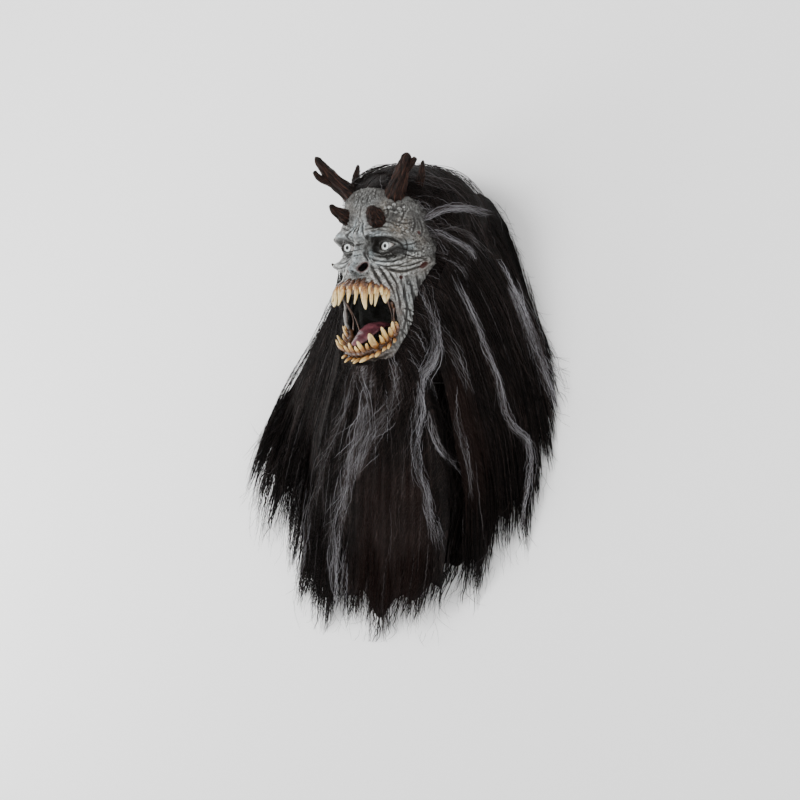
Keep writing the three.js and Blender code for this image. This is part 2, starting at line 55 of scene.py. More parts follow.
def addCamera():
    turn = math.radians(cameraPlan["turn"])
    back = Vector((math.sin(turn), 0.0, math.cos(turn)))
    up = Vector((0.0, 1.0, 0.0))
    right = up.cross(back)
    place = Matrix((right, up, back)).transposed().to_4x4()
    place.translation = (Vector(cameraPlan["target"]) + back * cameraPlan["distance"]) / 1000
    data = bpy.data.cameras.new("camera")
    data.lens = cameraPlan["lens"]
    data.clip_end = 50
    camera = bpy.data.objects.new("camera", data)
    camera.matrix_world = place
    bpy.context.scene.collection.objects.link(camera)
    bpy.context.scene.camera = camera


addCamera()
print("camera placed")


# helpers for meshes

def deselectAll():
    if bpy.context.object and bpy.context.object.mode != "OBJECT":
        bpy.ops.object.mode_set(mode="OBJECT")
    bpy.ops.object.select_all(action="DESELECT")


def setAttribute(mesh, name, values):
    layer = mesh.attributes.new(name, "FLOAT", "POINT")
    layer.data.foreach_set("value", np.ascontiguousarray(values, dtype=np.float32))


def meshPoints(mesh):
    flat = np.empty(len(mesh.vertices) * 3)
    mesh.vertices.foreach_get("co", flat)
    return flat.reshape(-1, 3)


def movePoints(mesh, points):
    mesh.vertices.foreach_set("co", (points / 1000).ravel())


def closeSeams(obj, merge=0.02):
    deselectAll()
    obj.select_set(True)
    bpy.context.view_layer.objects.active = obj
    bpy.ops.object.mode_set(mode="EDIT")
    bpy.ops.mesh.select_all(action="SELECT")
    bpy.ops.mesh.remove_doubles(threshold=merge / 1000)
    bpy.ops.mesh.normals_make_consistent(inside=False)
    bpy.ops.object.mode_set(mode="OBJECT")


# A flat grid primitive, and where its points are across and along it, both 0 to 1
def gridSheet(name, columns, rows):
    deselectAll()
    bpy.ops.mesh.primitive_grid_add(x_subdivisions=columns, y_subdivisions=rows, size=2)
    obj = bpy.context.object
    obj.name = name
    points = meshPoints(obj.data)
    return obj, (points[:, 0] + 1) / 2, (points[:, 1] + 1) / 2


# A grid bent into a closed skin. place turns across and along into points,
# and into values for named attributes.
def wrappedGrid(name, columns, rows, place, merge=0.02):
    obj, across, along = gridSheet(name, columns, rows)
    points, values = place(across, along)
    movePoints(obj.data, points)
    for key, numbers in values.items():
        setAttribute(obj.data, key, numbers)
    obj.data.update()
    closeSeams(obj, merge)
    bpy.ops.object.shade_smooth()
    return obj


def joined(name, parts):
    deselectAll()
    for part in parts:
        part.select_set(True)
    bpy.context.view_layer.objects.active = parts[0]
    bpy.ops.object.join()
    parts[0].name = name
    return parts[0]


def finishPiece(obj, material, slotName, *nodes):
    obj.data.materials.clear()
    obj.data.materials.append(material)
    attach(obj, "root")
    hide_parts(*nodes)


# helpers for shapes

def smoothStep(x):
    x = np.clip(x, 0, 1)
    return x * x * (3 - 2 * x)


def bell(x, middle, width):
    return np.exp(-((x - middle) / width) ** 2)


def spot(angle, y, at, height, wide, tall):
    return np.exp(-((angle - at) / wide) ** 2 - ((y - height) / tall) ** 2)


def unit(vectors):
    return vectors / np.maximum(np.linalg.norm(vectors, axis=-1, keepdims=True), 1e-6)


# 1 along a piece and down to 0 at its ends, over a share of its length
def fromEnds(t, share):
    return np.clip(np.minimum(t, 1 - t) / share, 0, 1)


def roundTip(t, share):
    return np.sqrt(np.clip((1 - t) / share, 0, 1)) * np.sqrt(np.clip(t / 0.02, 0, 1))


# A smooth curve through points, with an even pace in each span
def curvePoints(points, t):
    points = np.asarray(points, float)
    last = len(points) - 1
    t = np.clip(np.asarray(t, float), 0, 1) * last
    k = np.minimum(t.astype(int), last - 1)
    w = (t - k)[..., None]
    ends = np.vstack([2 * points[0] - points[1], points, 2 * points[-1] - points[-2]])
    p0, p1, p2, p3 = (ends[k + i] for i in range(4))
    d0, d1, d2 = (
        np.maximum(np.linalg.norm(b - a, axis=-1, keepdims=True), 1e-4) ** 0.5
        for a, b in ((p0, p1), (p1, p2), (p2, p3))
    )
    m1 = ((p1 - p0) / d0 - (p2 - p0) / (d0 + d1) + (p2 - p1) / d1) * d1
    m2 = ((p2 - p1) / d1 - (p3 - p1) / (d1 + d2) + (p3 - p2) / d2) * d1
    return (
        p1 + m1 * w + (3 * (p2 - p1) - 2 * m1 - m2) * w ** 2 + (2 * (p1 - p2) + m1 + m2) * w ** 3
    )


def heading(points, t):
    return curvePoints(points, np.minimum(t + 0.01, 1)) - curvePoints(points, np.maximum(t - 0.01, 0))


# A tube round a path: radiusAt(across, along) in millimetres, closed to a point at both ends
def tubePlace(points, radiusAt, flatness=1.0, side=(0.25, 0.1, 1.0)):
    def place(across, along):
        t = np.clip(along, 0, 1)
        ahead = unit(heading(points, t))
        first = unit(np.cross(ahead, np.array(side)))
        second = np.cross(ahead, first)
        turn = 2 * np.pi * across
        outward = first * np.cos(turn)[:, None] + second * np.sin(turn)[:, None] * flatness
        return curvePoints(points, t) + outward * radiusAt(across, t)[:, None], {"along": t}
    return place


# the latex head

headPlan = {
    "axisHeight": 120.0,
    "crownY": 138.0,
    "domeY": 50.0,
    "domePower": 2.5,
    "neckY": -165.0,
    "wall": 3.2,
    "liningKept": 0.56,  # share of the faces of the hidden lining
    "lidRadius": 17.2,
    "fineColumns": 216,
    "fineAngle": 78.0,
    "backColumns": 40,
    # places with a finer grid as angle, half width, height, half height
    "fineSpots": [(26.5, 14.5, 26, 15), (8.5, 6.5, -3, 11)],
    "rowBreaks": [(0, -165), (4, -150), (226, 113), (242, 138)],
    "stations": [
        (60, 82, 99, 93), (20, 84, 101, 94), (-30, 80, 97, 86), (-75, 73, 92, 74),
        (-115, 66, 84, 66), (-145, 60, 68, 62), (-175, 60, 58, 62),
    ],
    # angle, height, half width in degrees, half height, how far it stands out
    "forms": [
        (23, 44, 17, 8, 12), (45, 37, 11, 9, 8), (18, 69, 9, 11, 7), (0, 42, 7, 12, 5),
        (26, 25, 15, 11, -19), (45, 18, 10, 6, -8), (0, 17, 6.5, 17, 10), (0, -5, 7, 9, 13),
        (9, -7, 5, 8, 6), (42, 1, 17, 7, 8), (62, 4, 13, 9, 9), (52, -38, 15, 22, -10),
        (62, 66, 13, 20, -6), (0, -38, 28, 18, 33), (44, -68, 7, 24, 5), (0, -122, 42, 16, 25),
        (64, -84, 14, 20, 6),
    ],
    "sculpted": [
        (20, 40, 13, 4, 4), (15, 26, 5, 7, -6), (36, 12, 12, 5, -4), (40, 38, 9, 4, 3),
        (0, -6, 4.5, 6, 5), (0, -17, 9, 5, -4), (9, 3, 4, 3, 3), (52, 4, 12, 4, 3),
        (36, -14, 8, 8, -4), (12, 46, 4, 10, 3), (5, 36, 2.5, 9, -4), (60, -2, 6, 5, -3),
        (36, 97, 9, 8, 3.5),
    ],
    "mouth": [
        (0, -42), (15, -42), (28, -45), (35, -52), (38, -68), (40, -84),
        (36, -95), (25, -107), (13, -115), (0, -117),
    ],
}
eyePlan = {
    "x": 35.2, "y": 27.0, "z": 191.0, "radius": 14.5, "deep": 9.0,
    "iris": 6.4, "lift": 0.5,  # the clear front over the iris stands out a little
    "rimShare": 0.15,  # share of the rows that close the back
    "grid": (36, 30),
    "rim": [(-14.5, -2.5), (-3, 11), (14, 2), (3, -11)],
}
gumPlan = {
    "sunk": 2.0, "grid": (14, 110),
    "upper": {"y": -31, "drop": 5, "reach": 29, "radius": 6},
    "lower": {"y": -123, "drop": -32, "reach": 39, "radius": 6.5},
}


def stationValue(column, y):
    rows = np.array(headPlan["stations"][::-1], float)
    heights, values = rows[:, 0], rows[:, column]
    last = len(heights) - 1
    each = np.arange(last + 1)
    before, after = np.maximum(each - 1, 0), np.minimum(each + 1, last)
    slope = (values[after] - values[before]) / (heights[after] - heights[before])
    i = np.clip(np.searchsorted(heights, y, "right") - 1, 0, last - 1)
    span = heights[i + 1] - heights[i]
    t = np.clip((y - heights[i]) / span, 0, 1)
    share = 3 * t ** 2 - 2 * t ** 3
    bend = (t - 2 * t ** 2 + t ** 3) * slope[i] + (t ** 3 - t ** 2) * slope[i + 1]
    return values[i] * (1 - share) + values[i + 1] * share + span * bend


def faceForms(angle, y, kinds=("forms",)):
    out = np.zeros_like(angle, dtype=float)
    for at, height, wide, tall, stands in sum((headPlan[kind] for kind in kinds), []):
        for side in ((1, -1) if at else (1,)):
            out += stands * spot(angle, y, side * at, height, wide, tall)
    return out


def headPoint(angle, y, grow=0.0, relief=None):
    angle, y = np.broadcast_arrays(np.asarray(angle, float), np.asarray(y, float))
    relief = faceForms(angle, y) if relief is None else relief
    close = np.maximum(0, (y - headPlan["domeY"]) / (headPlan["crownY"] + grow - headPlan["domeY"]))
    power = headPlan["domePower"]
    dome = np.maximum(0, 1 - close ** power) ** (1 / power)
    capped = np.minimum(y, headPlan["domeY"] + 10)
    across, ahead = np.sin(np.radians(angle)), np.cos(np.radians(angle))
    width = np.maximum(0.01, stationValue(1, capped) * dome)
    depth = np.where(ahead >= 0, stationValue(2, capped), stationValue(3, capped))
    depth = np.maximum(0.01, depth * dome)
    size = np.hypot(across / width, ahead / depth)
    out = relief * np.minimum(1, dome * 1.5) + grow
    return np.stack([
        width * across + across / width / size * out,
        y,
        headPlan["axisHeight"] + depth * ahead + ahead / depth / size * out,
    ], axis=-1)


def gumY(gum, angle):
    return gum["y"] - gum["drop"] * (angle / gum["reach"]) ** 2


# Folds as half width, depth, lift of the flesh beside it, and a path of angle and height.
# Each is on both sides of the face.
foldPlan = {
    "degree": 1.5,  # millimetres along the skin in one degree
    "strength": 0.72,
    "folds": [
        (1.5, 2.4, 1.3, [(4, 64), (5, 53), (9, 43), (11, 33)]),
        (1.2, 1.8, 1.0, [(0.8, 60), (1.5, 50), (3, 40)]),
        (1.4, 1.8, 1.0, [(9, 50), (15, 51), (24, 53.5), (33, 52)]),
        (1.2, 1.4, 0.8, [(12, 57), (20, 60), (30, 60), (38, 55)]),
        (1.3, 2.2, 1.0, [(13, 38), (20, 38.5), (29, 38), (38, 33), (44, 26)]),
        (1.1, 1.5, 0.9, [(12, 18), (18, 14), (27, 12), (36, 13.5), (42, 19)]),
        (1.5, 2.6, 1.5, [(11, 12), (18, 7), (28, 4.5), (38, 6.5), (46, 12)]),
        (1.2, 1.8, 1.0, [(14, 5), (22, 0), (32, -2.5), (42, 1), (50, 7)]),
        (1.3, 1.7, 0.9, [(43, 28), (50, 29), (58, 34)]),
        (1.3, 2.0, 1.2, [(43, 23), (51, 20), (60, 20)]),
        (1.3, 2.0, 1.2, [(43, 18), (50, 13), (61, 8)]),
        (1.1, 1.4, 0.7, [(-6, 31), (0, 28), (6, 31)]),
        (1.1, 1.4, 0.7, [(-6, 23), (0, 20.5), (6, 23)]),
        (1.1, 1.2, 0.7, [(-5, 15), (0, 13), (5, 15)]),
        (1.4, 2.2, 0.8, [(7, 25), (8, 14), (11, 6), (15, -3)]),
        (2.0, 3.4, 1.8, [(14, 2), (16, -7), (21, -18), (27, -32), (31, -42)]),
        (1.7, 2.6, 1.5, [(20, 1), (24, -8), (29, -20), (34, -34), (37, -48)]),
        (1.5, 2.0, 1.2, [(28, -4), (32, -12), (37, -24), (41, -40)]),
        (1.8, 2.6, 1.6, [(23, -1), (32, -7), (44, -9), (56, -3), (67, 6)]),
        (1.4, 1.8, 1.0, [(36, -2), (46, -2), (56, 4), (64, 11)]),
        (1.3, 1.6, 0.9, [(46, 10), (54, 9), (64, 14)]),
        (1.6, 2.4, 1.4, [(35, -26), (39, -40), (41, -54), (41, -66)]),
        (1.8, 3.0, 1.8, [(41, -18), (45, -34), (48, -54), (47, -76), (43, -98)]),
        (1.8, 3.0, 1.8, [(47, -14), (53, -30), (56, -50), (55, -76), (49, -102)]),
        (1.7, 2.6, 1.6, [(55, -10), (60, -28), (63, -50), (61, -76), (55, -102)]),
        (1.5, 2.0, 1.2, [(63, -6), (68, -24), (70, -48)]),
        (1.2, 1.6, 0.9, [(43, -60), (50, -62), (58, -69)]),
        (1.2, 1.6, 0.9, [(44, -75), (51, -79), (58, -88)]),
        (1.2, 1.6, 0.9, [(42, -90), (47, -97), (53, -108)]),
        (1.4, 1.8, 1.0, [(4, -127), (12, -131), (22, -129), (34, -120)]),
        (1.4, 1.8, 1.0, [(7, -135), (18, -140), (30, -134)]),
        (1.3, 1.6, 0.9, [(8, 80), (6, 92), (9, 106)]),
        (1.2, 1.4, 0.8, [(0, 70), (1, 84), (0, 98)]),
        (1.3, 1.6, 0.9, [(28, 66), (30, 75), (27, 86)]),
        (1.3, 1.6, 0.9, [(40, 58), (44, 70), (42, 84)]),
        (1.3, 1.6, 0.9, [(50, 42), (55, 56), (54, 72)]),
        (1.2, 1.2, 0.7, [(58, 38), (62, 52), (60, 66)]),
        (1.2, 1.3, 0.8, [(35, 62), (44, 58), (52, 60)]),
        (1.2, 1.3, 0.8, [(22, 76), (34, 78), (46, 74)]),
    ],
    # Warts as angle, height, radius, height above the skin
    "warts": [
        (31, 80, 3.2, 2.4), (35, 84, 2.8, 2.2), (40, 78, 3.0, 2.4), (37, 74, 2.2, 1.6),
        (44, 82, 2.4, 1.8), (47, 47, 2.4, 1.6), (43, 50, 2.2, 1.5), (51, 50, 2.0, 1.4),
        (-6, 100, 2.2, 1.8), (-1, 97, 2.4, 2.0), (3, 103, 2.2, 1.8), (-10, 95, 2.0, 1.6),
        (8, 98, 2.0, 1.6), (-3, 91, 1.9, 1.5), (12, 106, 2.2, 1.7), (-14, 101, 2.2, 1.7),
        (55, 18, 1.8, 1.2), (33, -28, 1.8, 1.2), (50, -24, 2.0, 1.3),
    ],
    # Open sores as angle, height, radius, depth, height of the rim
    "sores": [(60, 0, 4.2, 2.6, 1.4), (42, -17, 2.6, 1.8, 1.6), (58, 46, 2.4, 1.2, 1.0)],
    # Rust, tan, pale and dark patches as angle, height, half width, half height, strength
    "rust": [
        (0, -33, 34, 9, 0.9), (0, -126, 34, 12, 0.8), (40, -66, 8, 26, 0.35), (8, -2, 4, 7, 0.7),
        (60, 0, 5, 7, 0.7),
    ],
    "tan": [
        (42, 52, 10, 14, 0.8), (24, 82, 14, 12, 0.5), (-20, 84, 14, 12, 0.5), (44, -9, 17, 10, 0.6),
        (52, 6, 10, 6, 0.4), (31, -27, 8, 14, 0.5), (20, -14, 9, 8, 0.4), (57, 34, 8, 14, 0.45),
    ],
    # Pale paint and painted highlight on the brow ridges, the nose, the cheeks and the forehead
    "pale": [
        (5, 50, 3.5, 14, 1.0), (20, 42, 11, 4, 1.0), (48, 26, 7, 7, 0.9), (22, 3, 14, 6, 0.5),
        (48, -46, 10, 34, 0.5), (0, 12, 6, 16, 0.9),
        (4, -3, 7, 10, 1.0), (12, 14, 5, 9, 0.8), (10, 88, 12, 8, 0.35),
    ],
    # Airbrushed dark paint round the horn bases, on the forehead and along the hair, and painted shade
    # in the eye sockets, in the nostrils and under the chin
    "dark": [
        (17, 26, 6, 9, 1.0), (27, 34, 14, 4.5, 0.85), (-35, 25, 8, 10, 1.0), (-28, 14, 12, 4, 0.8),
        (41, 22, 9, 7, 0.95), (28, 13, 15, 5, 0.55),
        (0, 96, 60, 12, 0.5), (18, 67, 10, 10, 0.9), (36, 96, 14, 12, 0.7), (68, 60, 10, 40, 0.55),
        (0, -150, 60, 16, 0.7), (9, -2, 5, 7, 0.5), (62, -60, 8, 50, 0.6), (33, 68, 5, 10, 0.5),
        (58, 62, 9, 16, 0.6), (19, 88, 10, 8, 0.35),
    ],
    # Small beads strewn over the forehead and temples: angle, height, spread of each, count
    "beads": [
        (2, 97, 15, 9, 26), (38, 80, 14, 9, 16), (48, 47, 11, 8, 14), (56, 18, 9, 10, 12),
        (30, 60, 14, 6, 8),
    ],
    "eyeAt": (39, 22),  # middle of the wrinkles round an eye, along the skin and up
}


def beads():
    rng = np.random.default_rng(5)
    made = []
    for at, height, wide, tall, count in foldPlan["beads"]:
        for _ in range(count):
            radius = rng.uniform(0.9, 1.75)
            x, y = at + rng.normal() * wide * 0.6, height + rng.normal() * tall * 0.6
            made.append((x, y, radius, radius * 0.75))
    return made


def strokeDistance(angle, y, path):
    a = angle * foldPlan["degree"]
    nearest = np.full(a.shape, 1e9)
    along = np.zeros(a.shape)
    fine = curvePoints(np.array(path, float), np.linspace(0, 1, 4 * len(path)))
    fine[:, 0] *= foldPlan["degree"]
    for i, (p, q) in enumerate(zip(fine[:-1], fine[1:])):
        span = q - p
        t = np.clip(((a - p[0]) * span[0] + (y - p[1]) * span[1]) / (span @ span), 0, 1)
        far = np.hypot(a - p[0] - t * span[0], y - p[1] - t * span[1])
        closer = far < nearest
        nearest = np.where(closer, far, nearest)
        along = np.where(closer, (i + t) / (len(fine) - 1), along)
    return nearest, along


# Folds, warts and sores together, with the depth of the creases apart for the paint: dark wash and
# painted shade in the creases and round the foot of each wart and bead
def skinDetail(angle, y):
    relief = np.zeros_like(angle)
    creaseWashAndShade = np.zeros_like(angle)
    for wide, deep, lift, path in foldPlan["folds"]:
        for side in (1, -1):
            mirrored = [(side * a, h) for a, h in path]
            far, along = strokeDistance(angle, y, mirrored)
            fade = np.sin(np.pi * np.clip(0.06 + 0.88 * along, 0, 1)) * foldPlan["strength"]
            cut = bell(far, 0, 0.7 * wide) * fade
            relief += -deep * cut + lift * bell(far, 2.1 * wide, 1.2 * wide) * fade
            creaseWashAndShade = np.maximum(creaseWashAndShade, cut)
    for at, height, radius, stands in foldPlan["warts"] + beads():
        for side in ((1, -1) if at > 20 else (1,)):
            far = np.hypot((angle - side * at) * foldPlan["degree"], y - height) / radius
            relief += stands * np.exp(-far ** 4)
            # a ring of dark wash and painted shade round the foot of each wart and bead
            creaseWashAndShade = np.maximum(creaseWashAndShade, 0.45 * bell(far, 1.35, 0.3))
    for at, height, radius, deep, rim in foldPlan["sores"]:
        far = np.hypot((angle - at) * foldPlan["degree"], y - height) / radius
        relief += rim * bell(far, 1.25, 0.35) - deep * np.exp(-far ** 4)
    for angleAt, length, width in upperTeeth:
        edge = gumY(gumPlan["upper"], angleAt)
        root = [(angleAt, edge + 1), (angleAt * 0.94, edge + 4 + length * 0.22)]
        far, along = strokeDistance(angle, y, root)
        relief += 1.8 * bell(far, 0, width * 0.3)
    return relief, creaseWashAndShade


def patches(name, angle, y):
    out = np.zeros_like(angle)
    for at, height, wide, tall, strength in foldPlan[name]:
        for side in ((1, -1) if at > 0 else (1,)):
            out = np.maximum(out, strength * spot(angle, y, side * at, height, wide, tall))
    return out


def roughSkin(points, seed):
    shift = Vector((seed, 2 * seed, 3 * seed))
    return np.array([noise.noise(Vector(p) + shift) for p in points])


def insideOutline(px, py, outline):
    inside = np.zeros(px.shape, bool)
    for (x1, y1), (x2, y2) in zip(outline, np.roll(outline, -1, axis=0)):
        crosses = (y1 > py) != (y2 > py)
        at = x1 + (py - y1) / (y2 - y1 if y2 != y1 else 1e-9) * (x2 - x1)
        inside ^= crosses & (px < at)
    return inside


def nearestOn(px, py, outline, xScale=1.0):
    best = np.full(px.shape, 1e9)
    bestX, bestY = px.copy(), py.copy()
    for (x1, y1), (x2, y2) in zip(outline, np.roll(outline, -1, axis=0)):
        dx, dy = (x2 - x1) * xScale, y2 - y1
        t = np.clip(((px - x1) * xScale * dx + (py - y1) * dy) / (dx * dx + dy * dy + 1e-12), 0, 1)
        atX, atY = x1 + t * (x2 - x1), y1 + t * dy
        far = np.hypot((px - atX) * xScale, py - atY)
        closer = far < best
        best = np.where(closer, far, best)
        bestX, bestY = np.where(closer, atX, bestX), np.where(closer, atY, bestY)
    return bestX, bestY


def mouthOutline():
    half = headPlan["mouth"]
    around = half + [(-a, h) for a, h in half[-2:0:-1]]
    return curvePoints(np.array(around + [around[0]], float), np.linspace(0, 1, 160))[:-1]


def lidOutline():
    start, top, outer, bottom = (np.array(p, float) for p in eyePlan["rim"])
    t = np.linspace(0, 1, 24)[:-1, None]
    upper = (1 - t) ** 2 * start + 2 * t * (1 - t) * top + t ** 2 * outer
    lower = (1 - t) ** 2 * outer + 2 * t * (1 - t) * bottom + t ** 2 * start
    return np.vstack([upper, lower])


def nostrilOutline(side):
    turn = np.linspace(0, 2 * np.pi, 33)[:-1]
    across = 8.5 + 3.0 * np.cos(turn) + 1.3 * np.sin(turn)
    return np.stack([side * across, -3 + 6.6 * np.sin(turn)], axis=1)


# The flat sheet of angle and height that becomes the skin, finer round the eyes and nostrils
def skinSheet():
    fine, back = headPlan["fineColumns"], headPlan["backColumns"]
    columns, rows = fine + back, headPlan["rowBreaks"][-1][0]
    reach = headPlan["fineAngle"]
    obj, across, along = gridSheet("face_skin", columns, rows)
    mesh = obj.data
    angle = np.interp(across * columns, [0, fine, columns], [-reach, reach, 360 - reach])
    y = np.interp(along * rows, *zip(*headPlan["rowBreaks"]))
    mesh.vertices.foreach_set("co", np.stack([angle, y, 0 * y], axis=1).ravel())
    chosen = np.zeros(len(y), bool)
    for at, wide, height, tall in headPlan["fineSpots"]:
        chosen |= (np.abs(np.abs(angle) - at) < wide) & (np.abs(y - height) < tall)
    bpy.ops.object.mode_set(mode="EDIT")
    bpy.ops.mesh.select_all(action="DESELECT")
    bpy.ops.object.mode_set(mode="OBJECT")
    mesh.vertices.foreach_set("select", chosen)
    bpy.ops.object.mode_set(mode="EDIT")
    bpy.ops.mesh.subdivide(number_cuts=1)
    bpy.ops.object.mode_set(mode="OBJECT")
    return obj


# The lids swell over the eyes, and points inside an eye's opening move to its rim
def shapeLids(points, holes):
    x, y, z, lid = eyePlan["x"], eyePlan["y"], eyePlan["z"], headPlan["lidRadius"]
    soft = 1.2
    toLid = np.full(len(points), 50.0)
    for side in (1, -1):
        dx, dy = points[:, 0] - side * x, points[:, 1] - y
        over = np.maximum(lid ** 2 - dx ** 2 - dy ** 2, 0)
        ball = z + np.sqrt(over)
        front = (points[:, 2] > z - 30) & (over > 0)
        blend = np.logaddexp(ball / soft, points[:, 2] / soft) * soft
        points[:, 2] = np.where(front, blend, points[:, 2])
        rim = lidOutline() * np.array([side, 1])
        ahead = points[:, 2] > z
        inside = insideOutline(dx, dy, rim) & ahead
        holes[inside] = 3 + (side < 0)
        snapX, snapY = nearestOn(dx, dy, rim)
        gap = np.where(inside, 0, np.hypot(dx - snapX, dy - snapY))
        toLid = np.where(ahead, np.minimum(toLid, gap), toLid)
        deep = np.sqrt(np.maximum(lid ** 2 - snapX ** 2 - snapY ** 2, 0))
        snapped = np.stack([snapX + side * x, snapY + y, z + deep], axis=1)
        points = np.where(inside[:, None], snapped, points)
    return points, toLid


# Coarse grain, and fine wrinkles that run round the eyes and down the stretched cheeks
def skinGrain(angle, y):
    arc = angle * foldPlan["degree"]
    across, up = arc - np.sign(angle) * foldPlan["eyeAt"][0], y - foldPlan["eyeAt"][1]
    hanging = smoothStep((np.abs(angle) - 26) / 12) * smoothStep((2 - y) / 16)
    fromEye = np.hypot(across, up * 1.25)
    roundEye = smoothStep((46 - fromEye) / 12) * (1 - hanging)
    plain = np.stack([arc / 5.5, y / 5.5, 0 * y], axis=1)
    lengthwise = np.stack([(arc + 0.2 * y) / 3.1, y / 22, 0 * y + 4], axis=1)
    rings = np.stack([fromEye / 3.0, np.arctan2(up, across) * 1.7, 0 * y + 9], axis=1)
    crepe = (
        roughSkin(lengthwise, 5.3) * hanging
        + roughSkin(rings, 7.7) * roundEye
        + roughSkin(plain * 1.9, 8.7) * (1 - hanging) * (1 - roundEye)
    )
    return roughSkin(plain, 3.1), crepe


def buildSkin():
    obj = skinSheet()
    mesh = obj.data
    angle, y = meshPoints(mesh)[:, :2].T.copy()
    degree = foldPlan["degree"]
    holes = np.zeros(len(y), int)
    toRim = np.full(len(y), 50.0)
    for number, outline in enumerate((mouthOutline(), nostrilOutline(1), nostrilOutline(-1)), 1):
        inside = insideOutline(angle, y, outline)
        holes[inside] = number
        snapX, snapY = nearestOn(angle, y, outline, degree)
        if number > 1:
            gap = np.where(inside, 0, np.hypot((angle - snapX) * degree, y - snapY))
            toRim = np.minimum(toRim, gap)
        angle, y = np.where(inside, snapX, angle), np.where(inside, snapY, y)
    detail, creaseWashAndShade = skinDetail(angle, y)
    points = headPoint(angle, y, 0.0, faceForms(angle, y, ("forms", "sculpted")))
    points, toLid = shapeLids(points, holes)
    front = smoothStep((95 - np.abs(angle)) / 20) * smoothStep((122 - y) / 12)
    coarse, crepe = skinGrain(angle, y)
    rough = 0.5 * (0.45 - np.abs(coarse) * 1.9) + 0.75 * (0.4 - np.abs(crepe) * 2.0)
    calm = smoothStep(np.minimum(toLid / 6, toRim / 5) + 0.08) * np.where(holes == 1, 0.3, 1)
    lids = 0.9 * bell(toLid, 1.6, 1.3) - 1.5 * bell(toLid, 5.2, 1.2)
    lids -= 1.2 * bell(toLid, 9.5, 1.1) * (y < 24)
    rims = 1.3 * bell(toRim, 2.4, 1.9)
    push = (detail + rough) * front * calm + lids + rims
    outward = headPoint(angle, y, 1.0, 0 * angle) - headPoint(angle, y, 0.0, 0 * angle)
    points += unit(outward) * push[:, None]
    movePoints(mesh, points)
    # Dark wash and painted shade in the fine wrinkles, where the relief cuts in
    wrinkleWashAndShade = np.clip(np.abs(crepe) * 2.4 - 0.4, 0, 1) * 0.75
    wrinkleWashAndShade = wrinkleWashAndShade + np.clip(np.abs(coarse) * 2.2 - 0.6, 0, 1) * 0.25
    # Painted shade in the groove round each lid and at the rim of its opening
    lidRingShade = bell(toLid, 5.2, 1.2) + bell(toLid, 0, 1.3)
    setAttribute(mesh, "creaseWashAndShade", np.clip((creaseWashAndShade * 1.25 + wrinkleWashAndShade) * calm + lidRingShade, 0, 1) * front)
    # Lighter where the skin stands out: pale dry-brushed paint and painted highlight
    setAttribute(mesh, "ridge", np.clip(0.5 + push * 0.26, 0, 1))
    for name in ("rust", "tan", "pale", "dark"):
        setAttribute(mesh, name, patches(name, angle, y))
    sore = bell(toRim, 0.2, 1.4) * 0.8
    for at, height, radius, _, _ in foldPlan["sores"]:
        far = np.hypot((angle - at) * degree, y - height) / radius / 1.1
        sore = np.maximum(sore, np.exp(-far ** 4))
    setAttribute(mesh, "sore", sore)
    mesh.update()
    made = bmesh.new()
    made.from_mesh(mesh)
    made.faces.ensure_lookup_table()
    gone = [f for f in made.faces if all(holes[v.index] for v in f.verts)]
    bmesh.ops.delete(made, geom=gone, context="FACES")
    made.to_mesh(mesh)
    made.free()
    closeSeams(obj, 0.01)
    wallSkin(obj)
    return obj


# Walls the skin inwards, then thins the faces of the hidden lining
def wallSkin(obj):
    lining = obj.vertex_groups.new(name="lining")
    solid = obj.modifiers.new("wall", "SOLIDIFY")
    solid.thickness = headPlan["wall"] / 1000
    solid.offset = -1
    solid.shell_vertex_group = lining.name
    bpy.ops.object.modifier_apply(modifier=solid.name)
    thin = obj.modifiers.new("thin", "DECIMATE")
    thin.ratio = headPlan["liningKept"]
    thin.vertex_group = lining.name
    bpy.ops.object.modifier_apply(modifier=thin.name)
    bpy.ops.object.shade_smooth()


# teeth and gums

# Each tooth as angle, length and width, and in the main lower row how far it leans out
upperTeeth = [
    (-30, 18, 7), (-25.5, 23, 8), (-20.5, 25, 9), (-16, 21, 7.5), (-11.5, 26, 9), (-7, 23, 8),
    (-2, 27, 9), (3, 23, 8.5), (8, 25, 8), (13.5, 32, 13), (18.5, 24, 8), (22.5, 25, 8.5),
    (27, 20, 8), (30.5, 16, 6.5),
]
# A shorter row that grows in front of the gum, between the others
frontTeeth = [
    (-23, 12, 6), (-14, 14, 6.5), (-5, 15, 7), (1, 13, 6), (6, 14, 7), (10.5, 15, 7.5),
    (17, 15, 7), (21, 13, 6), (25, 14, 6.5), (29, 11, 5.5),
]
lowerTeeth = [
    (-38, 12, 7, 0.3), (-33, 19, 8, 0.5), (-28, 15, 8, 0.8), (-23, 21, 9, 0.9), (-17, 16, 8, 1.0),
    (-12, 27, 10, 1.5), (-6, 15, 8, 1.2), (-1, 19, 9, 0.9), (4, 14, 8, 1.2), (8.5, 20, 9.5, 1.0),
    (13, 15, 8, 1.3), (18.5, 30, 15, 1.4), (24, 17, 10, 1.0), (28, 23, 11, 0.8), (32.5, 16, 10, 0.7),
    (36, 18, 9, 0.5), (39.5, 12, 8, 0.4),
]
outerTeeth = [
    (-15, 12, 6.5), (-9, 17, 7), (-4, 12, 6), (1, 17, 7.5), (7, 14, 7), (12, 20, 9), (17, 13, 7),
    (22, 18, 9), (27, 13, 8), (31.5, 16, 8), (36, 12, 7),
]
toothPlan = {
    "grid": (14, 20),  # sides and rings
    "rooted": 8.5,  # how far a root shows above its gum
    # each row's share of the given width, sideways lean and brightness
    "upper": (0.88, 0.0, 1.06),
    "lower": (0.8, -0.22, 0.74),
    "outer": (0.8, -0.3, 0.68),
    "front": (1.0, 0.0, 1.06),
    "profile": [
        (0, 0.0), (0.04, 0.42), (0.12, 0.74), (0.2, 0.8), (0.3, 0.66), (0.42, 0.86),
        (0.55, 0.92), (0.72, 0.76), (0.88, 0.52), (0.96, 0.3), (1, 0),
    ],
}


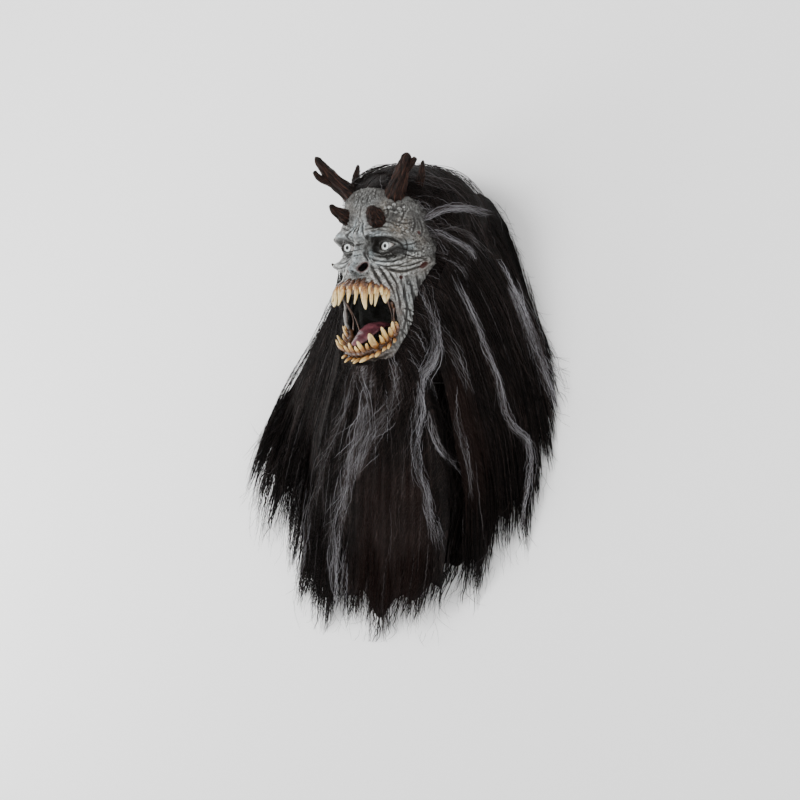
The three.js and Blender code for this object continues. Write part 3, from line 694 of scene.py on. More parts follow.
def addTooth(number, row, angle, y, out, up, length, width):
    rng = np.random.default_rng(100 + number)
    share, lean, bright = toothPlan[row]
    width = width * share
    rise = toothPlan["rooted"] * rng.uniform(0.5, 1.3) * (0.75 if up > 0 else 1)
    if row == "outer":
        rise = 2.0
    high = headPoint(angle * 0.97, y - np.sign(up) * rise, -0.6)
    root = headPoint(angle, y, gumPlan["sunk"] - 0.2)
    outward = headPoint(angle, y, 4.0) - headPoint(angle, y, 0.0)
    outward /= np.linalg.norm(outward)
    direction = outward * out + np.array([rng.uniform(-0.2, 0.2) + lean, up, 0])
    direction /= np.linalg.norm(direction)
    sway, curl = rng.uniform(-0.12, 0.12), rng.uniform(-0.05, 0.08)
    bend = np.array([sway * length, 0.08 * up * length, curl * length])
    tip = root + direction * (length - 1) + bend - outward * 1.5
    path = [high, root, root + direction * 0.5 * length - bend * 0.2, tip]
    phase = rng.uniform(0, 6.28)
    blunt = rng.uniform(0.8, 1.25)

    def radiusAt(across, t):
        body = np.interp(t, *zip(*toothPlan["profile"])) * width / 2
        body = body * np.where(t > 0.6, 1 + (blunt - 1) * np.minimum((t - 0.6) * 4, 1), 1)
        turn = 2 * np.pi * across
        flute = 1 + 0.12 * np.cos(5 * turn + phase) * (1 - t) + 0.08 * np.cos(3 * turn - phase)
        knob = 1 + 0.12 * np.sin(16 * t + phase) * bell(t, 0.2, 0.16)
        return body * flute * knob

    tube = tubePlace(path, radiusAt, flatness=0.86, side=tuple(outward))
    clean = rng.uniform(0.68, 1.0) * bright

    def place(across, along):
        points, values = tube(across, along)
        dent = np.clip(-np.cos(10 * np.pi * across + phase), 0, 1) ** 1.5
        groove = dent * (1 - 0.75 * values["along"])
        return points, {"along": values["along"] * clean, "groove": groove}

    return wrappedGrid(f"tooth{number}", *toothPlan["grid"], place)


def buildTeeth():
    upper, lower = gumPlan["upper"], gumPlan["lower"]
    rows = [("upper", a, gumY(upper, a), 0.28, -1, long, wide) for a, long, wide in upperTeeth]
    rows += [("lower", a, gumY(lower, a), out, 1, long, wide) for a, long, wide, out in lowerTeeth]
    rows += [("outer", a, gumY(lower, a) - 7, 0.8, -0.45, long, wide) for a, long, wide in outerTeeth]
    rows += [("front", a, gumY(upper, a) + 3.5, 0.55, -1, long, wide) for a, long, wide in frontTeeth]
    return joined("teeth", [addTooth(number, *row) for number, row in enumerate(rows)])


def buildGum(name, gum, teeth):
    roots = [tooth[0] for tooth in teeth]
    turns = np.linspace(-gum["reach"] - 2, gum["reach"] + 2, 25)
    path = headPoint(turns, gumY(gum, turns), -gumPlan["sunk"])

    def radiusAt(across, t):
        angle = (t * 2 - 1) * (gum["reach"] + 2)
        lumps = np.clip(sum(bell(angle, root, 1.7) for root in roots), 0, 1.2)
        waves = 0.06 * np.cos(6 * np.pi * across + 9 * t)
        return fromEnds(t, 0.04) ** 0.5 * gum["radius"] * (0.58 + 0.26 * lumps + waves)

    return wrappedGrid(name, *gumPlan["grid"], tubePlace(path, radiusAt, side=(0, 1, 0.2)))


# horns

# Each limb as a path of x, y, z and radius from its root on the head
hornPlan = {
    "antlerLeft": {
        "angle": 36, "y": 103,
        "path": [(-10, -18, -10, 15.5), (0, 0, 0, 14), (19, 26, 10, 10), (36, 52, 17, 6)],
        "prong": [(18, 24, 9, 7), (35, 36, 10, 5), (45, 45, 11, 3.4)],
    },
    "antlerRight": {
        "angle": -38, "y": 104,
        "path": [(10, -16, -10, 14), (0, 0, 0, 12.5), (-22, 26, 19, 9), (-38, 54, 34, 4.4)],
        "prong": [(-20, 16, 17, 6.5), (-31, 24, 34, 4.5), (-35, 33, 40, 2.8)],
    },
    "browLeft": {
        "angle": 19, "y": 68,
        "path": [(-3, -6, -10, 13), (0, 0, 1, 12), (5, 7, 14, 8), (7, 11, 20, 3.8)],
    },
    "browRight": {
        "angle": -19, "y": 71,
        "path": [(3, -6, -10, 11), (0, 0, 1, 9.5), (-6, 8, 14, 6), (-8, 15, 22, 2.6)],
    },
    "crownLeft": {"angle": 60, "y": 115, "path": [(-4, -8, -2, 8), (6, 8, 0, 6.5), (12, 34, 2, 2)]},
    "crownRight": {"angle": -48, "y": 117, "path": [(4, -8, -2, 8), (-3, 8, 0, 6.5), (-3, 32, -4, 2)]},
    "thornRight": {
        "angle": -62, "y": 2,
        "path": [(4, 0, -4, 4.5), (0, 0, 0, 4), (-5, 3, 4, 2.4), (-8, 6, 5, 0.8)],
    },
}
hornGrid = {"thick": (44, 56), "thin": (26, 30)}  # sides and rings


def addHorn(name, root, limb, seed, grooves):
    rng = np.random.default_rng(seed)
    centres = [root + np.array(p[:3], float) for p in limb]
    radii = [p[3] for p in limb]
    shifts = rng.uniform(0, 2 * np.pi, 6)

    def furrows(count, turn, sway):
        return 1 - 2 * np.abs(np.sin(count / 2 * turn + sway))

    def radiusAt(across, t):
        body = np.interp(t * (len(radii) - 1), range(len(radii)), radii)
        turn = 2 * np.pi * across
        twist = 0.9 * t + 0.15 * np.sin(9 * t + shifts[0])
        sway = shifts[1] + 0.8 * np.sin(7 * t + shifts[2])
        bark = 0.12 * furrows(grooves, turn + twist, sway)
        sway = shifts[3] + 0.9 * np.sin(12 * t + shifts[4])
        bark += 0.06 * furrows(grooves + 3, turn - twist * 0.5, sway)
        bark += 0.03 * np.sin((2 * grooves + 1) * turn + 5 * np.sin(8 * t + shifts[5]))
        knots = 0.05 * np.sin(15 * t + shifts[0]) * np.sin(turn + shifts[3])
        burr = 0.1 * bell(t, 0.32, 0.08) * (1 + 0.5 * np.sin(7 * turn + shifts[1]))
        burr = burr if len(limb) > 3 else 0
        rooted = smoothStep((t - 0.12) / 0.4) * 0.8 + 0.2
        skinned = 1.03 + bark * (1 - 0.3 * t) * rooted + knots + burr * 0.6
        return body * roundTip(t, 0.06) * skinned

    grid = hornGrid["thick" if max(radii) > 9 else "thin"]
    return wrappedGrid(name, *grid, tubePlace(centres, radiusAt, side=(0.9, -0.4, 0.3)))


def buildHorns():
    horns = []
    for seed, (name, horn) in enumerate(hornPlan.items()):
        root = headPoint(horn["angle"], horn["y"])
        horns.append(addHorn(name, root, horn["path"], 40 + seed, 9))
        if "prong" in horn:
            horns.append(addHorn(name + "Prong", root, horn["prong"], 60 + seed, 7))
    return joined("horns", horns)


# tongue and strings of flesh

tonguePlan = {
    "path": [(0, -82, 168), (0, -85, 190), (0, -99, 212), (-2, -113, 232)],
    "halfWidth": [18, 19, 15, 7],
    "halfThick": [5, 5, 4.5, 3],
    "grid": (56, 60), "webGrid": (10, 22),
    # thin webs as start and end (angle, height, how far in) and radius
    "webs": [
        ((-12, -42, -5), (-14, -98, -10), 0.9), ((33, -50, -4), (37, -92, -7), 1.3),
        ((29, -47, -7), (33, -100, -12), 1.0), ((36, -58, -3), (31, -104, -9), 1.1),
        ((-34, -52, -4), (-37, -92, -6), 1.2),
    ],
}


def buildTongue():
    path, spans = tonguePlan["path"], len(tonguePlan["path"]) - 1

    def place(across, along):
        up = unit(np.cross(np.array([1.0, 0, 0]), heading(path, along)))
        wide = np.interp(along * spans, range(spans + 1), tonguePlan["halfWidth"])
        thick = np.interp(along * spans, range(spans + 1), tonguePlan["halfThick"])
        ends = roundTip(along, 0.12)
        turn = 2 * np.pi * across
        groove = -2.2 * bell(np.cos(turn), 0, 0.16) * (np.sin(turn) > 0)
        groove = groove * np.sin(np.pi * np.clip(along, 0.02, 0.9))
        ripple = 0.5 * np.sin(13 * along + 3 * np.cos(turn))
        ripple = ripple + 0.35 * np.sin(29 * along - 2 * np.cos(turn))
        crown = 1.6 * np.cos(turn) ** 2
        rise = np.sin(turn) * thick * ends + (groove + ripple) * ends + crown * ends
        points = curvePoints(path, along) + up * rise[:, None]
        points[:, 0] += np.cos(turn) * wide * ends
        # the groove value darkens the median groove in the paint: painted shade
        return points, {"along": along, "groove": np.clip(-groove / 2.2, 0, 1)}

    return wrappedGrid("tongue", *tonguePlan["grid"], place)


def buildWebs():
    webs = []
    for number, (start, end, radius) in enumerate(tonguePlan["webs"]):
        a, b = headPoint(*start), headPoint(*end)
        middle = (a + b) / 2 + np.array([1.5 * (-1) ** number, 0, -4])

        def radiusAt(across, t, radius=radius):
            return radius * (0.5 + 2.2 * np.abs(t - 0.5) ** 1.6 * 2) * fromEnds(t, 0.02)

        tube = tubePlace([a, middle, b], radiusAt)
        webs.append(wrappedGrid(f"web{number}", *tonguePlan["webGrid"], tube))
    return webs


def buildGums():
    gums = [
        buildGum("upperGum", gumPlan["upper"], upperTeeth),
        buildGum("lowerGum", gumPlan["lower"], lowerTeeth),
    ]
    return joined("gums", gums + buildWebs())


# eyes

def buildEye(name, side):
    centre = np.array([side * eyePlan["x"], eyePlan["y"], eyePlan["z"]])
    radius, lift, iris, rim = (eyePlan[key] for key in ("radius", "lift", "iris", "rimShare"))
    flat = radius - eyePlan["deep"]
    deepest = math.acos(flat / radius)

    def place(across, along):
        turn = 2 * np.pi * across
        lean = np.interp(along, [0, rim, 1], [0, deepest, 0])
        up = np.where(along < rim, flat, radius * np.cos(lean))
        out = np.where(along < rim, radius * np.sin(deepest) * along / rim, radius * np.sin(lean))
        up = up + np.where(along > 0.5, lift * np.exp(-(out / iris) ** 4), 0) - 0.05
        return centre + np.stack([out * np.cos(turn), out * np.sin(turn), up], axis=1), {}

    return wrappedGrid(name, *eyePlan["grid"], place)


# hair

# Each fall as guide paths of x, y, z, from its one side to its other
hairPlan = {
    "left": {
        "seed": 11, "locks": 22, "count": 680, "spread": 9.0, "reach": 1.03,
        "guides": [
            [(56, 114, 34), (84, 80, 27), (115, 16, 20), (146, -62, 13), (192, -146, 7)],
            [(96, 50, 130), (114, 5, 100), (138, -72, 60), (158, -170, 34), (166, -292, 8)],
            [(92, -10, 156), (108, -60, 130), (118, -140, 92), (126, -255, 54), (112, -400, 9)],
            [(70, -80, 172), (86, -135, 158), (84, -220, 124), (58, -345, 74), (12, -480, 14)],
        ],
    },
    "right": {
        "seed": 12, "locks": 26, "count": 600, "spread": 8.0, "reach": 0.965,
        "guides": [
            [(-62, 116, 30), (-98, 82, 18), (-150, 0, 26), (-272, -130, 30), (-412, -300, 12)],
            [(-96, 50, 130), (-126, -5, 108), (-205, -100, 84), (-318, -228, 58), (-425, -385, 14)],
            [(-92, -10, 156), (-118, -62, 132), (-185, -155, 100), (-272, -280, 62), (-352, -445, 12)],
            [(-70, -80, 172), (-94, -135, 158), (-150, -225, 124), (-225, -345, 78), (-300, -475, 14)],
        ],
    },
    "back": {
        "seed": 13, "locks": 18, "count": 150, "spread": 6.0, "reach": 0.955,
        "guides": [
            [(-60, 0, 34), (-85, -110, 40), (-150, -240, 36), (-230, -380, 26), (-295, -490, 7)],
            [(0, 0, 34), (0, -110, 44), (-40, -240, 38), (-125, -390, 28), (-210, -550, 7)],
            [(60, 0, 34), (85, -110, 40), (90, -240, 36), (55, -380, 26), (5, -510, 7)],
        ],
    },
    "beard": {
        "seed": 14, "locks": 24, "count": 820, "spread": 9.0, "reach": 1.11,
        "thick": [36, 30, 30, 14],
        "guides": [
            [(-52, -106, 190), (-82, -165, 176), (-150, -250, 132), (-218, -345, 84), (-288, -452, 32)],
            [(0, -139, 217), (-20, -178, 207), (-78, -265, 158), (-142, -370, 102), (-212, -490, 36)],
            [(56, -106, 188), (74, -165, 170), (72, -265, 128), (44, -370, 82), (-12, -490, 32)],
        ],
    },
}
looseEnds = (-427, 206, -555)  # least x, most x and least y of any hair
fallLength = 420  # a fall's length as its pattern and its bands take it
crimpPlan = {
    "samples": 25, "period": 8.0, "sideways": 0.7, "outwards": 0.45, "radius": 0.36,
    "swing": 2.72,  # turn of the wave from a sample to the next, nearly half a round
    "tips": 0.36,  # share of a fall's hairs that end at its tip
    "past": 1.12,  # how far a hair may go along its fall
}
# The mass under the loose hairs, with the share of its round that is its upper side
massPlan = {"grid": (110, 70), "over": 0.76, "short": 0.075}
tuftPlan = {"perLock": 9, "samples": 14, "slow": 1.1}
strayPlan = {
    "count": 800, "samples": 13, "tips": 0.38,
    "shares": {"left": 0.34, "right": 0.3, "beard": 0.24, "back": 0.12},
}
capPlan = {
    "crownY": 151.0, "closeY": 20.0, "front": 16.0, "behind": 26.0, "feather": 24.0,
    "turn": (60, 130), "shoulder": 0.45, "ridge": 2.5, "locks": 12, "edge": 2.0, "dive": 25.0,
    "hairline": [
        (112, 0), (105, 34), (92, 56), (70, 68), (35, 73), (2, 68),
        (-40, 55), (-95, 47), (-130, 30), (-145, 20), (-175, 20),
    ],
    "seed": 15, "count": 780, "grid": (180, 64), "over": 0.72, "bend": 115,
    "leftShare": 0.66, "crownShare": 0.24, "fringeLeftShare": 0.7,
    "low": (95.0, 0.62),  # where the crown begins, as height and share of the rows
    # where the loose hairs at the front are rooted, as height and angle
    "fringe": [
        (118, 0), (108, 30), (94, 44), (72, 54), (50, 65), (35, 71), (2, 68),
        (-40, 58), (-95, 47), (-130, 36), (-150, 20),
    ],
    "fringeCount": 340,
}
# Streaks of grey as paths with how many hairs, half width, and tone
streakPlan = {
    # paths as (along, across) on a fall
    "beard": [
        ([(0, 0.46), (0.30, 0.44), (0.47, 0.30), (0.63, 0.14), (0.76, 0.07), (0.98, 0.09)],
         54, 6.0, 0.8),
        ([(0.06, 0.53), (0.32, 0.61), (0.46, 0.56), (0.55, 0.53), (0.8, 0.5), (0.92, 0.51),
          (1, 0.57)], 110, 8.5, 0.95),
        ([(0.14, 0.86), (0.29, 0.79), (0.38, 0.70), (0.5, 0.62), (0.58, 0.58)], 56, 7.0, 0.85),
        ([(0.04, 0.3), (0.2, 0.24), (0.45, 0.2), (0.7, 0.24)], 16, 6.0, 0.6),
        ([(0.3, 0.9), (0.5, 0.83), (0.7, 0.8), (0.9, 0.84)], 14, 5.0, 0.55),
    ],
    "left": [
        ([(0.41, 0.91), (0.51, 0.94), (0.59, 0.93), (0.66, 0.91), (0.76, 0.90)], 22, 3.5, 0.8),
        ([(0.09, 0.59), (0.43, 0.61), (0.58, 0.59), (0.65, 0.60), (0.74, 0.56), (0.83, 0.46),
          (0.89, 0.44), (0.95, 0.55), (1, 0.6)], 84, 2.3, 0.95),
        ([(0.45, 0.2), (0.62, 0.16), (0.8, 0.12), (1.0, 0.09)], 76, 8.0, 0.9),
        ([(0.2, 0.36), (0.5, 0.33), (0.8, 0.3)], 14, 7.0, 0.5),
    ],
    "right": [
        ([(0.08, 0.05), (0.5, 0.04), (0.98, 0.06)], 76, 12.0, 0.72),
        ([(0.3, 0.45), (0.6, 0.5), (0.95, 0.5)], 14, 12.0, 0.5),
    ],
    # paths as points in space
    "loose": [
        ([(72, -26, 166), (89, -105, 155), (84, -135, 158), (70, -158, 165), (62, -204, 160),
          (42, -249, 143), (31, -290, 125), (32, -320, 109), (24, -353, 93), (23, -375, 82),
          (20, -400, 72)], 180, 3.6, 1.0),
        ([(70, -200, 156), (70, -232, 144), (73, -257, 131), (76, -286, 93)], 26, 3.0, 0.9),
        ([(76, -60, 158), (90, -90, 150), (104, -130, 132), (108, -170, 112)], 24, 5.0, 0.75),
        ([(82, -165, 152), (80, -230, 132), (66, -310, 106), (40, -400, 76)], 70, 9.0, 0.16),
    ],
    # paths as (angle, height) on the cap
    "cap": [
        ([(56, 58), (62, 62), (76, 76), (96, 82), (118, 78)], 58, 2.4, 0.9),
        ([(62, 40), (74, 43), (96, 16), (108, -20), (112, -60)], 58, 2.4, 0.95),
        ([(66, 50), (82, 52), (100, 40), (122, 4)], 22, 4.5, 0.7),
        ([(68, 20), (80, 12), (92, -14), (100, -50)], 22, 5.0, 0.7),
        ([(20, 122), (44, 128), (80, 118), (110, 96)], 18, 7.0, 0.6),
        ([(-14, 118), (-40, 126), (-80, 112)], 12, 6.0, 0.5),
    ],
}

# Broad soft bands of grey through the falls, as (along, across, half width) and strength
bandPlan = {
    "beard": [
        ([(0.02, 0.53, 8), (0.32, 0.61, 11), (0.46, 0.56, 11), (0.55, 0.53, 10), (0.8, 0.5, 8),
          (1, 0.56, 12)], 0.56),
        ([(0.1, 0.86, 6), (0.29, 0.79, 8), (0.38, 0.70, 9), (0.5, 0.62, 8), (0.58, 0.58, 6)], 0.46),
        ([(0, 0.46, 6), (0.3, 0.44, 7), (0.47, 0.3, 6), (0.63, 0.14, 5), (0.76, 0.07, 5),
          (0.98, 0.09, 6)], 0.44),
    ],
    "left": [
        ([(0.09, 0.59, 4), (0.43, 0.61, 5), (0.65, 0.6, 5), (0.74, 0.56, 5), (0.83, 0.46, 5),
          (0.89, 0.44, 6), (1, 0.6, 6)], 0.4),
        ([(0.5, 0.19, 9), (0.66, 0.15, 15), (0.82, 0.11, 17), (1.0, 0.08, 17)], 0.75),
    ],
    "right": [
        ([(0.05, 0.06, 9), (0.3, 0.05, 14), (0.6, 0.05, 16), (0.98, 0.07, 15)], 0.42),
        ([(0.4, 0.5, 6), (0.7, 0.52, 9), (0.98, 0.5, 9)], 0.16),
    ],
}


def hairlineAngle(y):
    heights, angles = zip(*capPlan["hairline"][::-1])
    return np.where(y >= heights[-1], 0, np.interp(y, heights, angles))


def capPoint(angle, y, grow=0.0):
    angle, y = np.broadcast_arrays(np.asarray(angle, float), np.asarray(y, float))
    turned = np.abs((angle + 180) % 360 - 180)
    behind = smoothStep((turned - capPlan["turn"][0]) / (capPlan["turn"][1] - capPlan["turn"][0]))
    power = 2 + behind
    thick = capPlan["front"] * (1 - behind) + capPlan["behind"] * behind
    thick = thick + capPlan["ridge"] * np.cos(np.radians(angle) * capPlan["locks"])
    close = np.clip((y - capPlan["closeY"]) / (capPlan["crownY"] + grow - capPlan["closeY"]), 0, 1)
    rounding = 2 + capPlan["shoulder"] * behind
    dome = np.maximum(0, 1 - close ** rounding) ** (1 / rounding)
    level = np.minimum(y, headPlan["domeY"])
    across, ahead = np.sin(np.radians(angle)), np.cos(np.radians(angle))
    square = (np.abs(across) ** power + np.abs(ahead) ** power) ** (-1 / power)
    width = (stationValue(1, level) + thick) * dome + grow
    depth = np.where(ahead >= 0, stationValue(2, level), stationValue(3, level)) + thick
    depth = depth * dome + grow
    up = headPlan["axisHeight"] + depth * ahead * square
    full = np.stack([width * across * square, y, up], axis=-1)
    past = turned - hairlineAngle(y)
    standOff = np.maximum(-capPlan["dive"], capPlan["edge"] + 3 * np.minimum(0, past)) + grow
    top = headPlan["crownY"] - capPlan["edge"]
    root = headPoint(angle, np.minimum(y, top), 0.0)
    outward = headPoint(angle, np.minimum(y, top), 1.0) - root
    root = root + outward * standOff[..., None]
    share = np.where(y > top, 1, smoothStep(past / capPlan["feather"]))[..., None]
    point = root * (1 - share) + full * share
    point[..., 1] = y
    point[..., 2] = np.maximum(point[..., 2], 1.0)
    return point


# A fall as a lattice of points, across its guides and along them
def fallLattice(guides, across=49, along=81):
    t = np.linspace(0, 1, along)
    lines = np.array([curvePoints(path, t) for path in guides])
    u = np.linspace(0, 1, across)
    return np.stack([curvePoints(lines[:, i], u) for i in range(along)], axis=1)


def onLattice(lattice, u, t):
    nu, nt = lattice.shape[0] - 1, lattice.shape[1] - 1
    x, z = np.clip(u, 0, 1) * nu, np.clip(t, 0, 1) * nt
    i, j = np.minimum(x.astype(int), nu - 1), np.minimum(z.astype(int), nt - 1)
    a, b = (x - i)[..., None], (z - j)[..., None]
    low = lattice[i, j] * (1 - a) + lattice[i + 1, j] * a
    high = lattice[i, j + 1] * (1 - a) + lattice[i + 1, j + 1] * a
    point = low * (1 - b) + high * b
    past = np.maximum(t - 1, 0)[..., None] * nt
    return point + (lattice[i, nt] - lattice[i, nt - 1]) * past


def latticeSides(lattice):
    across = unit(np.gradient(lattice, axis=0))
    up = unit(np.cross(np.gradient(lattice, axis=1), across))
    return across, np.where(up[..., 2:] < 0, -up, up)


# The lattice of a fall with its directions across and outwards
def fallFrame(key):
    lattice = fallLattice(hairPlan[key]["guides"])
    return (lattice, *latticeSides(lattice))


def thickAt(plan, t):
    return np.interp(t * (len(plan["thick"]) - 1), range(len(plan["thick"])), plan["thick"])


def bandTone(key, lattice, u, t):
    rows = np.linspace(0, 1, lattice.shape[1])
    wide = np.interp(t, rows, np.linalg.norm(lattice[-1] - lattice[0], axis=1))
    out = np.zeros(np.shape(u))
    for path, strength in bandPlan.get(key, []):
        fine = curvePoints(path, np.linspace(0, 1, 40))
        across, along = u[:, None] - fine[:, 1], t[:, None] - fine[:, 0]
        far = np.hypot(across * wide[:, None], along * fallLength) / fine[:, 2]
        out = np.maximum(out, strength * np.exp(-far.min(axis=1) ** 2))
    return out


# Closed three-sided hairs through paths (hairs, samples, 3), tapered to a point at both ends
def hairMesh(name, paths, radius, tone, warm, slow=2.2):
    count, samples, _ = paths.shape
    ahead = unit(np.gradient(paths, axis=1))
    first = unit(np.cross(ahead, np.array([0.31, 0.17, 0.93])))
    second = np.cross(ahead, first)
    share = np.linspace(0, 1, samples)
    taper = np.minimum(1, np.minimum(share * 6, (1 - share) * slow)) ** 0.7
    size = (radius[:, None] * (0.1 + 0.9 * taper))[..., None]
    rings = np.stack([
        paths + (first * math.cos(turn) + second * math.sin(turn)) * size
        for turn in (0.5, 2.594, 4.689)
    ], axis=2)[:, 1:-1]
    inner = samples - 2
    perHair = inner * 3 + 2
    points = np.empty((count, perHair, 3))
    points[:, 0] = paths[:, 0]
    points[:, 1:-1] = rings.reshape(count, inner * 3, 3)
    points[:, -1] = paths[:, -1]
    low, high, foot = looseEnds
    points = np.clip(points, (low, foot, 0.4), (high, np.inf, np.inf))
    quads, tris, end = [], [], 3 * inner - 2
    for j, after in ((0, 1), (1, 2), (2, 0)):
        tris += [(0, 1 + j, 1 + after), (perHair - 1, end + after, end + j)]
    for ring in range(1, end, 3):
        for j, after in ((0, 1), (1, 2), (2, 0)):
            quads.append((ring + j, ring + j + 3, ring + after + 3, ring + after))
    base = (np.arange(count) * perHair)[:, None, None]
    quads = (np.array(quads)[None] + base).reshape(-1, 4)
    tris = (np.array(tris)[None] + base).reshape(-1, 3)
    mesh = bpy.data.meshes.new(name)
    mesh.vertices.add(count * perHair)
    movePoints(mesh, points)
    mesh.loops.add(quads.size + tris.size)
    mesh.loops.foreach_set("vertex_index", np.concatenate([quads.ravel(), tris.ravel()]))
    mesh.polygons.add(len(quads) + len(tris))
    starts = np.concatenate([np.arange(len(quads)) * 4, quads.size + np.arange(len(tris)) * 3])
    mesh.polygons.foreach_set("loop_start", starts)
    mesh.update(calc_edges=True)
    mesh.validate()
    setAttribute(mesh, "tone", np.repeat(tone, perHair))
    setAttribute(mesh, "warm", np.repeat(warm, perHair))
    mesh.polygons.foreach_set("use_smooth", np.ones(len(mesh.polygons), bool))
    obj = bpy.data.objects.new(name, mesh)
    bpy.context.scene.collection.objects.link(obj)
    return obj


def phases(rng, count):
    return rng.uniform(0, 6.28, count)[:, None]


# Adds the crimp, each sample about half a wave from the last
def crimped(paths, side, up, rng, scale, tight=1.0):
    count, samples, _ = paths.shape
    turns = np.arange(samples)[None, :] * crimpPlan["swing"]
    flip = np.sin(turns + phases(rng, count)) * 1.3
    grow = np.clip(np.arange(samples) / 4, 0.2, 1)[None, :]
    wave = flip * rng.uniform(0.15, 1.35, (count, samples)) * grow * scale[:, None]
    drift = np.cumsum(rng.normal(0, 0.55, (count, samples)), axis=1)
    drift -= np.linspace(0, 1, samples) * drift[:, -1:] * 0.5
    lift = np.cumsum(rng.normal(0, 0.3, (count, samples)), axis=1)
    sideways = wave * crimpPlan["sideways"] * tight + drift
    outwards = -wave * crimpPlan["outwards"] * tight + np.abs(lift) * 0.6
    return paths + side * sideways[..., None] + up * outwards[..., None]


def tipReach(plan, u):
    seed = plan["seed"]
    return plan["reach"] * (0.95 + 0.03 * np.sin(17 * u + seed) + 0.025 * np.sin(41 * u + 2 * seed))


def dullTone(rng, count):
    return np.clip(rng.gamma(1.3, 0.11, count), 0.0, 0.7)


# Reddish brown hairs in two broad places
def warmth(key, u, t):
    if key == "beard":
        side = smoothStep((u - 0.55) / 0.1)
        return side * smoothStep((t - 0.45) / 0.2) * smoothStep((0.98 - u) / 0.1)
    if key == "left":
        side = smoothStep((u - 0.75) / 0.1)
        return side * smoothStep((t - 0.3) / 0.15) * smoothStep((0.9 - t) / 0.15)
    return 0 * u


def fallHairs(key, count, rng):
    plan = hairPlan[key]
    lattice, side, up = fallFrame(key)
    samples = crimpPlan["samples"]
    u0 = rng.random(count)
    locks = plan["locks"]
    lock = np.floor(u0 * locks)
    centre = (lock + 0.5 + 0.3 * np.sin(lock * 5.1)) / locks
    middle = onLattice(lattice, u0, np.linspace(0, 1, 25)[:, None] + 0 * u0)
    fullLength = np.linalg.norm(np.diff(middle, axis=0), axis=-1).sum(axis=0)
    step = crimpPlan["period"] / 2 * rng.uniform(0.8, 1.35, count)
    reach = tipReach(plan, u0) + rng.normal(0, 0.02, count)
    span = step * (samples - 1) / fullLength
    begin = rng.random(count) ** 1.25 * np.maximum(reach - span, 0.01)
    atTip = rng.random(count) < crimpPlan["tips"]
    begin = np.where(atTip, np.maximum(reach - span * rng.uniform(0.85, 1, count), 0), begin)
    t = begin[:, None] + (np.arange(samples) * step[:, None]) / fullLength[:, None]
    t = np.minimum(t, crimpPlan["past"])
    pull = 0.1 + 0.62 * smoothStep(t) ** 1.5
    u = u0[:, None] * (1 - pull) + centre[:, None] * pull
    u = u + 0.3 / locks * np.sin(t * 8 + phases(rng, count))
    sides, ups = (onLattice(way, u, np.minimum(t, 1)) for way in (side, up))
    bulge = np.cos(np.clip((u - centre[:, None]) * locks, -1, 1) * np.pi / 2)
    depth = rng.random(count)[:, None]
    swell = np.sin(np.pi * np.clip(0.14 + 0.78 * t, 0, 1)) * plan["spread"]
    stands = (depth * 0.75 + 0.35 * bulge - 0.3) * swell + 0.6
    point = onLattice(lattice, u, t) + ups * stands[..., None]
    # hairs near the edges of a fall also hang down its side
    edge = np.minimum(u0, 1 - u0)
    drop = np.where(edge < 0.07, rng.random(count) ** 1.2, 0)
    tips = smoothStep((t - begin[:, None] - 0.6 * span[:, None]) / span[:, None])
    tips = tips * (t > 0.86)
    if "thick" in plan:
        thick = thickAt(plan, t)
        point[..., 2] -= drop[:, None] * thick + tips * thick * rng.random(count)[:, None]
    else:
        point[..., 2] *= (1 - 0.92 * drop[:, None]) * (1 - 0.9 * tips * rng.random(count)[:, None])
    paths = crimped(point, sides, ups, rng, rng.uniform(0.6, 1.4, count))
    radius = crimpPlan["radius"] * rng.uniform(0.7, 1.3, count)
    warm = warmth(key, u0, begin + span / 2) * rng.uniform(0.2, 1, count)
    middle = samples // 2
    tone = dullTone(rng, count)
    band = bandTone(key, lattice, u[:, middle], t[:, middle])
    return paths, radius, tone + band * rng.uniform(0.3, 1.7, count), warm


# Soft tapering tufts that carry each fall on past its solid mass
def tuftHairs(key, count, rng):
    plan = hairPlan[key]
    lattice, side, up = fallFrame(key)
    samples = tuftPlan["samples"]
    u = (np.arange(count) + rng.random(count)) / count
    reach = tipReach(plan, u) + rng.normal(0.0, 0.02, count)
    span = rng.uniform(0.16, 0.27, count)
    share = np.linspace(0, 1, samples)[None, :]
    t = (reach - span)[:, None] + span[:, None] * share
    locks = plan["locks"]
    centre = (np.floor(u * locks) + 0.5) / locks
    across = u[:, None] + (centre - u)[:, None] * 0.45 * share ** 1.5
    across = across + 0.012 * np.sin(7 * share + phases(rng, count)) * share
    sides, ups = (onLattice(way, across, np.minimum(t, 1)) for way in (side, up))
    point = onLattice(lattice, across, t)
    deep = rng.random(count)[:, None]
    if "thick" in plan:
        point[..., 2] -= deep * thickAt(plan, t) * 0.9 + 3
    else:
        point[..., 2] *= 1 - 0.9 * deep * (0.6 + 0.4 * share)
    paths = crimped(point, sides, ups, rng, rng.uniform(0.8, 1.9, count))
    radius, tone = rng.uniform(1.0, 2.2, count), rng.uniform(0.03, 0.2, count)
    return paths, radius, tone, warmth(key, u, reach - 0.1) * 0.5


# Height on the cap at a distance down it from the crown
def capHeight(far):
    rise, bend, quarter = capPlan["crownY"] - capPlan["closeY"] - 1, capPlan["bend"], np.pi / 2
    turn = np.maximum(far, 0) / bend
    curve = rise * np.cos(np.minimum(turn, quarter))
    return capPlan["closeY"] + np.where(turn < quarter, curve, (quarter - turn) * bend)


def capSides(point):
    up = point - np.array([0, 0, headPlan["axisHeight"]])
    up[..., 1] *= 0.4
    up = unit(up)
    return unit(np.cross(np.gradient(point, axis=-2), up)), up


# How far along its hair each sample is
def hairSteps(pace):
    return np.arange(crimpPlan["samples"])[None, :] * crimpPlan["period"] / 2 * pace[:, None]


